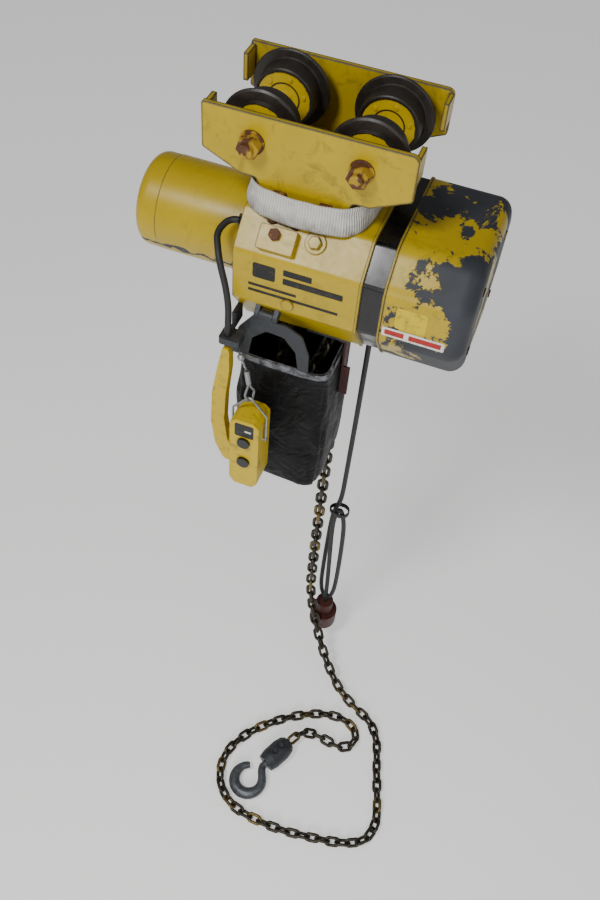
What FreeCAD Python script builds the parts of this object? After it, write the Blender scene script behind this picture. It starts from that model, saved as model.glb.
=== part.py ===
import FreeCAD, Part
import math
import os

# Electric chain hoist on a four-wheel push trolley, in millimetres.
# Origin: middle of the trolley, at the height where the wheel treads sit on the beam flange.
# +X runs along the motor axis towards the end cover, +Y away from the operator's side, +Z up.

V = FreeCAD.Vector
X, Y, Z = V(1, 0, 0), V(0, 1, 0), V(0, 0, 1)

# ---- driving dimensions -------------------------------------------------------------------
# trolley
plate_length = 250.0
plate_thickness = 6.0
gauge_outer = 151.0            # over the outer faces of the two side plates
axle_spacing = 128.0
tread_radius = 37.5
wheel_flange_radius = 48.5
flange_gap = 91.0              # between the wheel flanges; the beam flange runs in it
tread_width = 25.5
wheel_flange_width = 8.0
wheel_bore = 15.0              # radius of the bore that the bearing fills
axle_radius = 8.0
plate_above_axle = 34.5
plate_side_below_axle = 22.0
plate_below_axle = 44.0
plate_bottom_half = 78.0
lug_half = 46.0                # half width of the lug under each side plate
lug_bottom = -44.0
end_tab_width = 24.0
end_tab_height = 34.0
load_bolt_radius = 8.0
load_bolt_spacing = 56.0
load_bolt_z = -28.0
# casing section, seen along X
case_half = 112.0
case_top = -48.0
case_bottom = -232.0
case_top_chamfer = 38.0
case_low_chamfer_y = 54.0
case_low_chamfer_z = 72.0
case_corner = 9.0
cover_corner = 30.0
case_wall = 6.0
frame_left = -71.0
frame_length = 162.0
band_width = 26.0
band_inset = 2.5
cover_length = 107.0
cover_edge_round = 20.0
lip_width = 3.0                # thin rims of frame and cover that stand proud beside the band
lip_height = 1.5
cover_step = 1.0               # how far the cover stands outside the frame's outline
cover_screw_head = 1.6
# motor
motor_z = -136.0
motor_radius = 62.0
motor_wall = 5.0
motor_length = 129.0           # barrel with its flange
motor_cap_length = 32.0
motor_cap_round = 15.0
motor_flange_radius = 68.0
motor_flange_width = 14.0
shaft_radius = 9.0
air_gap = 0.6
# load chain
chain_width = 21.0             # over the links
chain_pitch_radius = 31.0
floor_z = -1200.0              # the surface that the slack chain and the hook lie on
# gear train and load sheave
pinion_teeth, wheel_teeth, first_module = 14, 48, 1.5
second_pinion_teeth, sheave_gear_teeth, second_module = 14, 38, 2.0
chain_to_shaft = 1.5           # gap between the motor shaft and the chain going over the sheave
# the sheave's shaft lies this far below the motor's
shaft_drop = chain_pitch_radius + chain_width / 2 + shaft_radius + chain_to_shaft
gear_width = 12.0
sheave_x = 42.0
sheave_flank = 3.5             # the sheave's rim on each side of the chain
sheave_rim = 4.0               # and outside the chain's pitch circle
sheave_width = chain_width + 2 * sheave_flank
sheave_shaft_radius = 12.0
# pendant
clamp_low = -214.0             # underside of the clamp that carries the pendant and its cable
anchor_x, anchor_y = -54.0, -134.0
anchor_z = clamp_low - 6.0     # pin that the pendant's rope swings on
anchor_pin_radius = 2.0
thimble_radius = 4.2
thimble_half = 4.8
# fits
running = 0.05                 # radial clearance in a running fit
clear = 0.4                    # gap between neighbours on different bodies

parts = {}


# ---- shape helpers ------------------------------------------------------------------------
def box(x0, x1, y0, y1, z0, z1):
    return Part.makeBox(x1 - x0, y1 - y0, z1 - z0, V(x0, y0, z0))


def rod(radius, start, end):
    start, end = V(*start), V(*end)
    return Part.makeCylinder(radius, (end - start).Length, start, end - start)


def hexagon(across, start, end, turn=0.0):
    start, end = V(*start), V(*end)
    axis = (end - start).normalize()
    side = axis.cross(Z if abs(axis.z) < 0.9 else X).normalize()
    other = axis.cross(side)
    r = across / math.sqrt(3)
    ring = []
    for i in range(7):
        a = math.radians(60 * i + turn)
        ring.append(start + side * (r * math.cos(a)) + other * (r * math.sin(a)))
    return Part.Face(Part.makePolygon(ring)).extrude(end - start)


def rounded_edges(points, radii, closed):
    """Straight runs joined by tangent arcs, one radius for each corner."""
    points = [V(*p) for p in points]
    n = len(points)
    edges, place = [], None if closed else points[0]
    corners = range(n) if closed else range(1, n - 1)
    arcs = []
    for k, i in enumerate(corners):
        here = points[i]
        a, b = (points[i - 1] - here), (points[(i + 1) % n] - here)
        a.normalize()
        b.normalize()
        turn = math.pi - math.acos(max(-1.0, min(1.0, a.dot(b))))
        cut = radii[k] * math.tan(turn / 2)
        middle = (a + b).normalize()
        depth = radii[k] / math.cos(turn / 2) - radii[k]
        arcs.append((here + a * cut, here + middle * depth, here + b * cut))
    for i, (first, mid, last) in enumerate(arcs):
        before = arcs[i - 1][2] if (i or closed) else place
        if (first - before).Length > 1e-6:
            edges.append(Part.LineSegment(before, first).toShape())
        edges.append(Part.Arc(first, mid, last).toShape())
    if not closed:
        edges.append(Part.LineSegment(arcs[-1][2], points[-1]).toShape())
    return edges


def rounded_face(points, radius):
    radii = radius if isinstance(radius, list) else [radius] * len(points)
    return Part.Face(Part.Wire(rounded_edges(points, radii, True)))


def cord_radii(points):
    """The largest arcs that a hanging or lying cord's runs allow, turn by turn."""
    points = [V(*p) for p in points]
    radii = []
    for i in range(1, len(points) - 1):
        a, b = points[i] - points[i - 1], points[i + 1] - points[i]
        turn = a.getAngle(b)
        radii.append(0.45 * min(a.Length, b.Length) / math.tan(turn / 2))
    return radii


def tube(points, radius, radii):
    wire = Part.Wire(rounded_edges(points, radii, False))
    along = V(*points[1]) - V(*points[0])
    ring = Part.Wire(Part.makeCircle(radius, V(*points[0]), along))
    solid = wire.makePipeShell([ring], True, False)
    expected = math.pi * radius**2 * wire.Length
    return solid, wire.Length, solid.Volume / expected


def free_cord(name, points, diameter):
    radii = cord_radii(points)
    solid, length, ratio = tube(points, diameter / 2, radii)
    shown = ", ".join(f"{r:.0f}" for r in radii)
    print(f"{name}: length {length:.0f} mm, volume ratio {ratio:.4f}, radii {shown}")
    return solid


def inset(points, by):
    """A convex outline moved inwards by a wall thickness."""
    n, lines, result = len(points), [], []
    cy = sum(p[0] for p in points) / n
    cz = sum(p[1] for p in points) / n
    for i in range(n):
        (y0, z0), (y1, z1) = points[i], points[(i + 1) % n]
        length = math.hypot(y1 - y0, z1 - z0)
        ny, nz = (z1 - z0) / length, -(y1 - y0) / length
        if ny * (cy - y0) + nz * (cz - z0) < 0:
            ny, nz = -ny, -nz
        lines.append((ny, nz, ny * y0 + nz * z0 + by))
    for i in range(n):
        a, b = lines[i - 1], lines[i]
        det = a[0] * b[1] - a[1] * b[0]
        result.append(((a[2] * b[1] - a[1] * b[2]) / det, (a[0] * b[2] - a[2] * b[0]) / det))
    return result


def case_outline(by=0.0):
    low = case_bottom + case_low_chamfer_z
    high = case_top - case_top_chamfer
    right = [
        (case_half - case_top_chamfer, case_top),
        (case_half, high),
        (case_half, low),
        (case_half - case_low_chamfer_y, case_bottom),
    ]
    left = [(-y, z) for y, z in reversed(right)]
    return inset(right + left, by)


def case_prism(x0, x1, by=0.0, corner=case_corner):
    outline = [(x0, y, z) for y, z in case_outline(by)]
    return rounded_face(outline, corner).extrude(V(x1 - x0, 0, 0))


def gear(teeth, module, x0, x1, y, z, bore, turn=0.0):
    """A spur gear whose teeth stop just short of the pitch line, so that meshed pairs stay clear."""
    tip = teeth * module / 2 - 0.15
    root = tip - 1.1 * module
    points = []
    for i in range(teeth):
        a = 2 * math.pi * i / teeth + turn
        step = 2 * math.pi / teeth
        for share, r in ((-0.32, root), (-0.17, tip), (0.17, tip), (0.32, root)):
            b = a + share * step
            points.append(V(x0, y + r * math.cos(b), z + r * math.sin(b)))
    face = Part.Face(Part.makePolygon(points + points[:1]))
    body = face.extrude(V(x1 - x0, 0, 0))
    if bore:
        body = body.cut(rod(bore, (x0 - 1, y, z), (x1 + 1, y, z)))
    return body


def group(solids):
    return Part.makeCompound(solids)


def one(shape):
    """The single solid of a boolean result."""
    shape = shape.removeSplitter()
    return shape.Solids[0] if len(shape.Solids) == 1 else shape


# ---- trolley ------------------------------------------------------------------------------
axle_z = tread_radius
axle_x = axle_spacing / 2
plate_inner = gauge_outer / 2 - plate_thickness
flange_y = flange_gap / 2
wheel_inner_y = flange_y - tread_width
wheel_outer_y = flange_y + wheel_flange_width
plate_top = axle_z + plate_above_axle
plate_low = axle_z - plate_below_axle


def side_plate(side):
    """Flat-bar side plate with cut lower corners, a lug under its middle and bent-in end tabs."""
    half = plate_length / 2
    low_side = axle_z - plate_side_below_axle
    outline = [
        (-half, plate_top), (half, plate_top), (half, low_side), (plate_bottom_half, plate_low),
        (lug_half + 12, plate_low), (lug_half, lug_bottom), (-lug_half, lug_bottom),
        (-lug_half - 12, plate_low), (-plate_bottom_half, plate_low), (-half, low_side),
    ]
    y0 = side * plate_inner
    corners = [2.5, 9.0, 4.0, 4.0, 6.0, 8.0, 8.0, 6.0, 4.0, 4.0]
    plate = rounded_face([(x, y0, z) for x, z in outline], corners)
    plate = plate.extrude(V(0, side * plate_thickness, 0))
    for end in (-1, 1):
        x0, x1 = sorted((end * (half - plate_thickness), end * half))
        y_in = side * (plate_inner - end_tab_width)
        y0, y1 = sorted((y_in, side * plate_inner))
        tab = box(x0, x1, y0, y1, axle_z - 4, axle_z - 4 + end_tab_height)
        plate = plate.fuse(tab)
    far = side * (gauge_outer / 2 + 1)
    for sx in (-1, 1):
        hole = rod(axle_radius + 0.3, (sx * axle_x, y_in, axle_z), (sx * axle_x, far, axle_z))
        plate = plate.cut(hole)
        x = sx * load_bolt_spacing / 2
        hole = rod(load_bolt_radius + 0.3, (x, y_in, load_bolt_z), (x, far, load_bolt_z))
        plate = plate.cut(hole)
    return one(plate)


parts["trolley_plate_front"] = side_plate(-1)
parts["trolley_plate_back"] = side_plate(1)

bearing_width = 18.0
bearing_y = wheel_outer_y - bearing_width
shoulder_radius = 12.0


def axle_stud(sx, sy):
    """Axle bolt: head disc and shoulder inside the plate, thread and nut outside it."""
    x = sx * axle_x
    head = rod(11.0, (x, sy * (wheel_inner_y + 3), axle_z), (x, sy * bearing_y, axle_z))
    shank = rod(axle_radius, (x, sy * bearing_y, axle_z), (x, sy * (gauge_outer / 2 + 22), axle_z))
    spacer = rod(shoulder_radius, (x, sy * wheel_outer_y, axle_z), (x, sy * plate_inner, axle_z))
    return one(head.fuse(shank).fuse(spacer))


def axle_hardware(sx, sy):
    x, y = sx * axle_x, sy * gauge_outer / 2
    washer = rod(15.0, (x, y, axle_z), (x, y + sy * 2.5, axle_z))
    nut = hexagon(24.0, (x, y + sy * 2.5, axle_z), (x, y + sy * 16.0, axle_z), 12.0)
    bore = rod(axle_radius, (x, y - sy, axle_z), (x, y + sy * 20, axle_z))
    return [washer.cut(bore), nut.cut(bore)]


corners_of_trolley = [(-1, -1), (1, -1), (-1, 1), (1, 1)]
parts["axle_studs"] = group([axle_stud(sx, sy) for sx, sy in corners_of_trolley])
parts["axle_nuts"] = group([s for sx, sy in corners_of_trolley for s in axle_hardware(sx, sy)])


def wheel(sx, sy):
    """Cast trolley wheel: plain tread, guide flange on the plate's side, pressed-on hub disc."""
    x = sx * axle_x
    inner, outer, edge = wheel_inner_y, wheel_outer_y, flange_y
    profile = [
        (wheel_bore, inner + 5), (wheel_bore, outer), (wheel_flange_radius - 14, outer),
        (wheel_flange_radius - 14, outer - 3), (wheel_flange_radius - 2.5, outer - 3),
        (wheel_flange_radius, outer - 5), (wheel_flange_radius, edge + 1.5),
        (wheel_flange_radius - 1.5, edge), (tread_radius + 1.0, edge), (tread_radius, edge - 1.5),
        (tread_radius, inner + 1.5), (tread_radius - 1.5, inner), (tread_radius - 4, inner),
        (tread_radius - 4, inner + 2), (0.0, inner + 2), (0.0, inner + 5),
    ]
    ring = [V(x + r, sy * y, axle_z) for r, y in profile]
    face = Part.Face(Part.makePolygon(ring + ring[:1]))
    body = face.revolve(V(x, 0, axle_z), Y, 360)
    for i in range(6):
        a = math.radians(60 * i + 15)
        cx, cz = x + 25.0 * math.cos(a), axle_z + 25.0 * math.sin(a)
        body = body.fuse(rod(2.6, (cx, sy * (inner + 3), cz), (cx, sy * (inner + 0.6), cz)))
    body = body.fuse(rod(9.0, (x, sy * (inner + 3), axle_z), (x, sy * (inner + 0.8), axle_z)))
    clearance = rod(11.0 + clear, (x, sy * (inner + 2.9), axle_z), (x, sy * bearing_y, axle_z))
    return one(body.cut(clearance))


for sx, sy in corners_of_trolley:
    name = f"wheel_{'front' if sy < 0 else 'back'}_{'left' if sx < 0 else 'right'}"
    parts[name] = wheel(sx, sy)


def wheel_bearing(sx, sy):
    x = sx * axle_x
    outer = rod(wheel_bore - running, (x, sy * bearing_y, axle_z), (x, sy * wheel_outer_y, axle_z))
    bore = rod(axle_radius, (x, sy * (bearing_y - 1), axle_z), (x, sy * (wheel_outer_y + 1), axle_z))
    return outer.cut(bore)


parts["wheel_bearings"] = group([wheel_bearing(sx, sy) for sx, sy in corners_of_trolley])

bracket_half_y = plate_inner - 4.0
bracket_half_x = load_bolt_spacing / 2 + 14
bracket_foot = 6.0


def load_bolt(sx):
    x = sx * load_bolt_spacing / 2
    start, end = -gauge_outer / 2, gauge_outer / 2 + 14
    shank = rod(load_bolt_radius, (x, start, load_bolt_z), (x, end, load_bolt_z))
    return one(shank.fuse(hexagon(24.0, (x, start - 9, load_bolt_z), (x, start, load_bolt_z))))


def load_nut(sx):
    x, y = sx * load_bolt_spacing / 2, gauge_outer / 2
    nut = hexagon(24.0, (x, y, load_bolt_z), (x, y + 13, load_bolt_z), 8.0)
    return nut.cut(rod(load_bolt_radius, (x, y - 1, load_bolt_z), (x, y + 20, load_bolt_z)))


def suspension_bracket():
    """Steel foot bolted on the casing's top land, with two bosses that take the load bolts."""
    hx, hy = bracket_half_x, bracket_half_y
    foot = box(-hx, hx, -hy, hy, case_top, case_top + bracket_foot)
    for sx in (-1, 1):
        x = sx * load_bolt_spacing / 2
        boss = rod(load_bolt_radius + 6, (x, -plate_inner, load_bolt_z), (x, plate_inner, load_bolt_z))
        web = box(x - 8, x + 8, -hy, hy, case_top, load_bolt_z)
        foot = foot.fuse(boss).fuse(web)
    for sx in (-1, 1):
        x = sx * load_bolt_spacing / 2
        bore = rod(load_bolt_radius + 0.3, (x, -100, load_bolt_z), (x, 100, load_bolt_z))
        foot = foot.cut(bore)
    for x, y in bracket_screw_places:
        foot = foot.cut(rod(4.2, (x, y, case_top - 1), (x, y, case_top + 20)))
    return one(foot)


bracket_screw_places = [(0, -44), (0, 44), (0, -16), (0, 16)]
parts["load_bolts"] = group([load_bolt(-1), load_bolt(1), load_nut(-1), load_nut(1)])
parts["suspension_bracket"] = suspension_bracket()

# ---- casing -------------------------------------------------------------------------------
frame_right = frame_left + frame_length
band_right = frame_right + band_width
cover_right = band_right + cover_length
end_wall = 8.0
guide_half_x, guide_half_y = 26.0, 50.0
sheave_z = motor_z - shaft_drop


def gear_frame():
    """Cast main housing, open to the right, with the motor spigot in its left wall."""
    shell = case_prism(frame_left, frame_right)
    lip = case_prism(frame_right - lip_width, frame_right, -lip_height, case_corner + lip_height)
    shell = shell.fuse(lip)
    inner = case_prism(frame_left + end_wall, frame_right + 1, case_wall, case_corner - 3)
    shell = shell.cut(inner)
    shell = shell.cut(rod(22.0, (frame_left - 1, 0, motor_z), (frame_left + end_wall + 1, 0, motor_z)))
    for x, y in bracket_screw_places:
        shell = shell.cut(rod(4.0, (x, y, case_top - case_wall - 1), (x, y, case_top + 1)))
    slot = box(
        sheave_x - guide_half_x, sheave_x + guide_half_x, -guide_half_y, guide_half_y,
        case_bottom - 1, case_bottom + case_wall + 1,
    )
    shell = shell.cut(slot)
    hole = rod(gland_thread, (gland_x, gland_y, case_bottom - 1), (gland_x, gland_y, case_bottom + 9))
    shell = shell.cut(hole)
    far = frame_left + end_wall + 1
    hole = rod(gland_thread, (frame_left - 1, cable_y, cable_z), (far, cable_y, cable_z))
    return one(shell.cut(hole))


gland_x, gland_y, gland_thread, gland_across = 79.6, 44.0, 6.0, 14.0
cable_y, cable_z = -62.0, -84.0

parts["gear_frame"] = gear_frame()

band = case_prism(frame_right, band_right, band_inset)
band_bore = case_prism(frame_right - 1, band_right + 1, case_wall + 2, case_corner - 3)
parts["spacer_band"] = one(band.cut(band_bore))


def end_cover():
    """Deep-drawn cover over the gears and controls, with well rounded outer edges."""
    shell = case_prism(band_right, cover_right, -cover_step, cover_corner)
    end_edges = [e for e in shell.Edges if abs(e.BoundBox.XMin - cover_right) < 1e-4]
    shell = shell.makeFillet(cover_edge_round, end_edges)
    lip = case_prism(band_right, band_right + lip_width, -cover_step - lip_height,
                     cover_corner + lip_height)
    shell = shell.fuse(lip)
    inner = case_prism(band_right - 1, cover_right - 5, 4.0, cover_corner - 5)
    end_edges = [e for e in inner.Edges if abs(e.BoundBox.XMin - cover_right + 5) < 1e-4]
    inner = inner.makeFillet(cover_edge_round - 5, end_edges)
    shell = shell.cut(inner)
    for y, z in cover_screw_places:
        shell = shell.cut(rod(3.3, (cover_right - 8, y, z), (cover_right + 1, y, z)))
    return one(shell)


cover_screw_places = [(-58, -90), (58, -90), (-58, -186), (58, -186)]
parts["end_cover"] = end_cover()

motor_right = frame_left
motor_left = motor_right - motor_length
cap_left = motor_left - motor_cap_length


def motor_barrel():
    outer = rod(motor_radius, (motor_left, 0, motor_z), (motor_right, 0, motor_z))
    flange = rod(
        motor_flange_radius, (motor_right - motor_flange_width, 0, motor_z), (motor_right, 0, motor_z)
    )
    inner_r = motor_radius - motor_wall
    bore = rod(inner_r, (motor_left + 6, 0, motor_z), (motor_right - 8, 0, motor_z))
    shell = outer.fuse(flange).cut(bore)
    shell = shell.cut(rod(bearing_outer, (motor_left - 1, 0, motor_z), (motor_right + 1, 0, motor_z)))
    for y, z in motor_screw_places:
        shell = shell.cut(rod(3.3, (motor_right - 20, y, z), (motor_right + 1, y, z)))
    return one(shell)


bearing_outer = 17.0
motor_screw_places = [
    (65.0 * math.cos(math.radians(a)), motor_z + 65.0 * math.sin(math.radians(a)))
    for a in (45, 135, 225, 315)
]


def motor_end_cap():
    outer = rod(motor_radius - 0.5, (cap_left, 0, motor_z), (motor_left, 0, motor_z))
    rim = [e for e in outer.Edges if abs(e.BoundBox.XMax - cap_left) < 1e-4]
    outer = outer.makeFillet(motor_cap_round, rim)
    inner_r = motor_radius - motor_wall
    inner = rod(inner_r, (cap_left + 5, 0, motor_z), (motor_left + 1, 0, motor_z))
    rim = [e for e in inner.Edges if abs(e.BoundBox.XMax - cap_left - 5) < 1e-4]
    return one(outer.cut(inner.makeFillet(motor_cap_round - 4, rim)))


parts["motor_barrel"] = motor_barrel()
parts["motor_end_cap"] = motor_end_cap()


def case_screws():
    """Low-head screws of the end cover and hex screws of the motor flange, all on 6 mm shanks."""
    made = []
    for y, z in cover_screw_places:
        shank = rod(3.0, (cover_right - 20, y, z), (cover_right, y, z))
        head = rod(5.5, (cover_right, y, z), (cover_right + cover_screw_head, y, z))
        made.append(one(shank.fuse(head)))
    x = motor_right - motor_flange_width
    for y, z in motor_screw_places:
        shank = rod(3.0, (x, y, z), (motor_right, y, z))
        made.append(one(shank.fuse(hexagon(5.5, (x - 4, y, z), (x, y, z)))))
    return group(made)


parts["case_screws"] = case_screws()

# fittings on the casing's upper front chamfer
chamfer_normal = V(0, -1, 1).normalize()
chamfer_down = V(0, -1, -1).normalize()
chamfer_top_edge = V(0, -(case_half - case_top_chamfer), case_top)


def on_chamfer(x, down, out=0.0):
    """A point on the upper front chamfer, measured from its top edge."""
    return chamfer_top_edge + X * x + chamfer_down * down + chamfer_normal * out


block_x, block_length, block_width, block_height = -20.0, 46.0, 30.0, 11.0
block_down = 31.0


def anchor_block():
    """Clamp block that is screwed on the chamfer."""
    x0, x1 = block_x - block_length / 2, block_x + block_length / 2
    d0, d1 = block_down - block_width / 2, block_down + block_width / 2
    outline = [tuple(on_chamfer(x, d)) for x, d in ((x0, d0), (x1, d0), (x1, d1), (x0, d1))]
    return rounded_face(outline, 3.0).extrude(chamfer_normal * block_height)


def body_bolts():
    """Hex screw of the anchor block and two mushroom-head bolts above it."""
    top = on_chamfer(block_x - 3, block_down - 5, block_height)
    made = [hexagon(13.0, tuple(top), tuple(top + chamfer_normal * 6), 20.0)]
    for x in (block_x - 14, block_x + 16):
        foot = on_chamfer(x, 6.0)
        head = rod(8.5, tuple(foot), tuple(foot + chamfer_normal * 4.0))
        made.append(head.makeFillet(2.5, [head.Edges[0]]))
    for x, y in bracket_screw_places:
        z = case_top + bracket_foot
        shank = rod(4.0, (x, y, case_top - case_wall), (x, y, z))
        made.append(one(shank.fuse(hexagon(13.0, (x, y, z), (x, y, z + 6)))))
    return group(made)


def oil_plug():
    """Round boss with a hex filler plug, beside the anchor block, and a flat plug below it."""
    foot = on_chamfer(24.0, 22.0)
    boss = rod(13.0, tuple(foot), tuple(foot + chamfer_normal * 3.0))
    plug = hexagon(14.0, tuple(foot + chamfer_normal * 3), tuple(foot + chamfer_normal * 10), 10.0)
    return group([one(boss.fuse(plug))])


def level_plug():
    z = case_bottom + case_low_chamfer_z + 12
    return rod(8.0, (2.0, -case_half - 2.5, z), (2.0, -case_half, z))


parts["anchor_block"] = anchor_block()
parts["body_bolts"] = body_bolts()
parts["oil_plugs"] = group([oil_plug().Solids[0], level_plug()])

# ---- motor inside -------------------------------------------------------------------------
core_left, core_right = motor_left + 24, motor_right - 30
rotor_radius = 34.0


def stator():
    inner_r = motor_radius - motor_wall
    ring = rod(inner_r, (core_left, 0, motor_z), (core_right, 0, motor_z))
    heads = rod(inner_r - 7, (core_left - 10, 0, motor_z), (core_right + 10, 0, motor_z))
    bore = rod(rotor_radius + air_gap, (core_left - 20, 0, motor_z), (core_right + 20, 0, motor_z))
    return one(ring.fuse(heads).cut(bore))


first_gear_x = frame_right + 8
first_gear_end = first_gear_x + gear_width
second_gear_x = band_right + 2
second_gear_end = second_gear_x + gear_width
shaft_end = first_gear_end + 3


def rotor():
    core = rod(rotor_radius, (core_left + 2, 0, motor_z), (core_right - 2, 0, motor_z))
    shaft = rod(shaft_radius, (cap_left + 8, 0, motor_z), (shaft_end, 0, motor_z))
    pinion = gear(
        pinion_teeth, first_module, first_gear_x, first_gear_end, 0, motor_z, 0,
    )
    return one(core.fuse(shaft).fuse(pinion))


def shaft_bearing(x0, width, outer, y, z, bore):
    ring = rod(outer, (x0, y, z), (x0 + width, y, z))
    return ring.cut(rod(bore + running, (x0 - 1, y, z), (x0 + width + 1, y, z)))


brake_radius = 44.0
coil_left = motor_left - 13
plate_gap = 0.8
brake_plate_thickness = 3.0
disc_thickness = 4.0

parts["stator"] = stator()
parts["rotor"] = rotor()

coil = rod(brake_radius, (coil_left, 0, motor_z), (motor_left, 0, motor_z))
coil_bore = rod(bearing_outer, (coil_left - 1, 0, motor_z), (motor_left + 1, 0, motor_z))
coil = coil.cut(coil_bore)
spring_places = [
    (30.0 * math.cos(math.radians(a)), motor_z + 30.0 * math.sin(math.radians(a)))
    for a in (0, 90, 180, 270)
]
for y, z in spring_places:
    coil = coil.cut(rod(4.4, (coil_left - 1, y, z), (motor_left - 4, y, z)))
parts["brake_coil"] = one(coil)
parts["brake_springs"] = group(
    [rod(3.6, (coil_left - plate_gap / 2, y, z), (motor_left - 4, y, z)) for y, z in spring_places]
)
armature_right = coil_left - plate_gap
armature = rod(
    brake_radius, (armature_right - brake_plate_thickness, 0, motor_z), (armature_right, 0, motor_z)
)
armature_bore = rod(14.0, (cap_left, 0, motor_z), (motor_left, 0, motor_z))
parts["brake_plate"] = armature.cut(armature_bore)
disc_right = armature_right - brake_plate_thickness - clear
disc = rod(brake_radius - 2, (disc_right - disc_thickness, 0, motor_z), (disc_right, 0, motor_z))
disc_hub = rod(shaft_radius, (cap_left, 0, motor_z), (motor_left, 0, motor_z))
parts["brake_disc"] = disc.cut(disc_hub)

# ---- gears and sheave ---------------------------------------------------------------------
first_distance = (pinion_teeth + wheel_teeth) * first_module / 2
second_distance = (second_pinion_teeth + sheave_gear_teeth) * second_module / 2
idler_drop = (first_distance**2 - second_distance**2 + shaft_drop**2) / (2 * shaft_drop)
idler_y = math.sqrt(first_distance**2 - idler_drop**2)
idler_z = motor_z - idler_drop
idler_shaft_radius = 8.0
inner_wall_x = frame_right - 9
outer_wall_x = second_gear_end + 3
web_x = sheave_x - sheave_width / 2 - 14
wall_thickness = 6.0
bearing_step = 7.0             # how much a bearing's outer ring is larger than its shaft


def idler():
    shaft = rod(
        idler_shaft_radius, (inner_wall_x, idler_y, idler_z),
        (outer_wall_x + wall_thickness, idler_y, idler_z),
    )
    large = gear(wheel_teeth, first_module, first_gear_x, first_gear_end, idler_y, idler_z, 0)
    small = gear(second_pinion_teeth, second_module, second_gear_x, second_gear_end, idler_y, idler_z, 0)
    return one(shaft.fuse(large).fuse(small))


def load_sheave():
    """Pocket wheel on its shaft: a grooved rim that the chain wraps half way round."""
    half = sheave_width / 2
    rim = rod(chain_pitch_radius + sheave_rim, (sheave_x - half, 0, sheave_z), (sheave_x + half, 0, sheave_z))
    groove = Part.makeTorus(
        chain_pitch_radius, chain_width / 2 + 1.4, V(sheave_x, 0, sheave_z), X, 0, 360, 360
    )
    shaft = rod(
        sheave_shaft_radius, (web_x, 0, sheave_z), (outer_wall_x + wall_thickness, 0, sheave_z)
    )
    return one(rim.cut(groove).fuse(shaft))


def bearing_walls():
    """Three plates that carry the shafts: sheave web, inner wall and outer wall."""
    made = []
    sheave_outer = sheave_shaft_radius + bearing_step
    idler_outer = idler_shaft_radius + bearing_step
    for x, by, corner in (
        (web_x, case_wall + 0.2, case_corner - 3),
        (inner_wall_x, case_wall + 0.2, case_corner - 3),
        (outer_wall_x, case_wall + 0.5, cover_corner - 5),
    ):
        wall = case_prism(x, x + wall_thickness, by, corner)
        wall = wall.cut(rod(sheave_outer, (x - 1, 0, sheave_z), (x + 9, 0, sheave_z)))
        if x < outer_wall_x:
            outer = bearing_outer if x == inner_wall_x else shaft_radius + 3
            wall = wall.cut(rod(outer, (x - 1, 0, motor_z), (x + 9, 0, motor_z)))
        if x > web_x:
            wall = wall.cut(rod(idler_outer, (x - 1, idler_y, idler_z), (x + 9, idler_y, idler_z)))
        made.append(one(wall))
    return group(made)


def shaft_bearings():
    sheave_outer = sheave_shaft_radius + bearing_step
    idler_outer = idler_shaft_radius + bearing_step
    made = [
        shaft_bearing(motor_left, 6, bearing_outer, 0, motor_z, shaft_radius),
        shaft_bearing(motor_right - 8, 8, bearing_outer, 0, motor_z, shaft_radius),
        shaft_bearing(inner_wall_x, wall_thickness, bearing_outer, 0, motor_z, shaft_radius),
    ]
    for x in (web_x, inner_wall_x, outer_wall_x):
        made.append(shaft_bearing(x, wall_thickness, sheave_outer, 0, sheave_z, sheave_shaft_radius))
    for x in (inner_wall_x, outer_wall_x):
        made.append(
            shaft_bearing(x, wall_thickness, idler_outer, idler_y, idler_z, idler_shaft_radius)
        )
    return group(made)


parts["idler_gears"] = idler()
parts["load_sheave"] = load_sheave()
parts["sheave_gear"] = gear(
    sheave_gear_teeth, second_module, second_gear_x, second_gear_end, 0, sheave_z,
    sheave_shaft_radius,
)
parts["bearing_walls"] = bearing_walls()
parts["shaft_bearings"] = shaft_bearings()

# controls behind the outer wall
controls_x = outer_wall_x + wall_thickness
contactor_front = box(controls_x, controls_x + 44, -70, -14, -150, -90)
contactor_back = box(controls_x, controls_x + 44, 14, 70, -138, -78)
terminals = box(controls_x, controls_x + 20, 14, 84, -172, -152)
parts["contactors"] = group([contactor_front, contactor_back, terminals])

# ---- chain guide and limit lever ----------------------------------------------------------
guide_flange = 6.0
guide_bore = chain_width / 2 + 2.0
lever_pin_y = chain_pitch_radius + 16.0
lever_z = case_bottom - guide_flange - 7.0
lever_half, lug_width, lever_pin = 17.0, 4.0, 2.0


def chain_guide():
    """Guide block let into the casing's bottom, with one bore for each chain strand."""
    body = box(
        sheave_x - guide_half_x, sheave_x + guide_half_x, -guide_half_y, guide_half_y,
        case_bottom, case_bottom + case_wall,
    )
    flange = box(
        sheave_x - guide_half_x - 3, sheave_x + guide_half_x + 3, -guide_half_y - 5,
        guide_half_y + 5, case_bottom - guide_flange, case_bottom,
    )
    block = body.fuse(flange)
    for side in (-1, 1):
        y = side * chain_pitch_radius
        block = block.cut(
            rod(guide_bore, (sheave_x, y, case_bottom - 20), (sheave_x, y, case_bottom + 20))
        )
    for side in (-1, 1):
        x0, x1 = sorted(sheave_x + side * (lever_half + clear + w) for w in (0, lug_width))
        lug = box(x0, x1, lever_pin_y - 4.5, lever_pin_y + 4.5, lever_z - 4, case_bottom - guide_flange)
        pin_bore = rod(lever_pin + running, (x0 - 1, lever_pin_y, lever_z), (x1 + 1, lever_pin_y, lever_z))
        block = block.fuse(lug.cut(pin_bore))
    return one(block)


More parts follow.
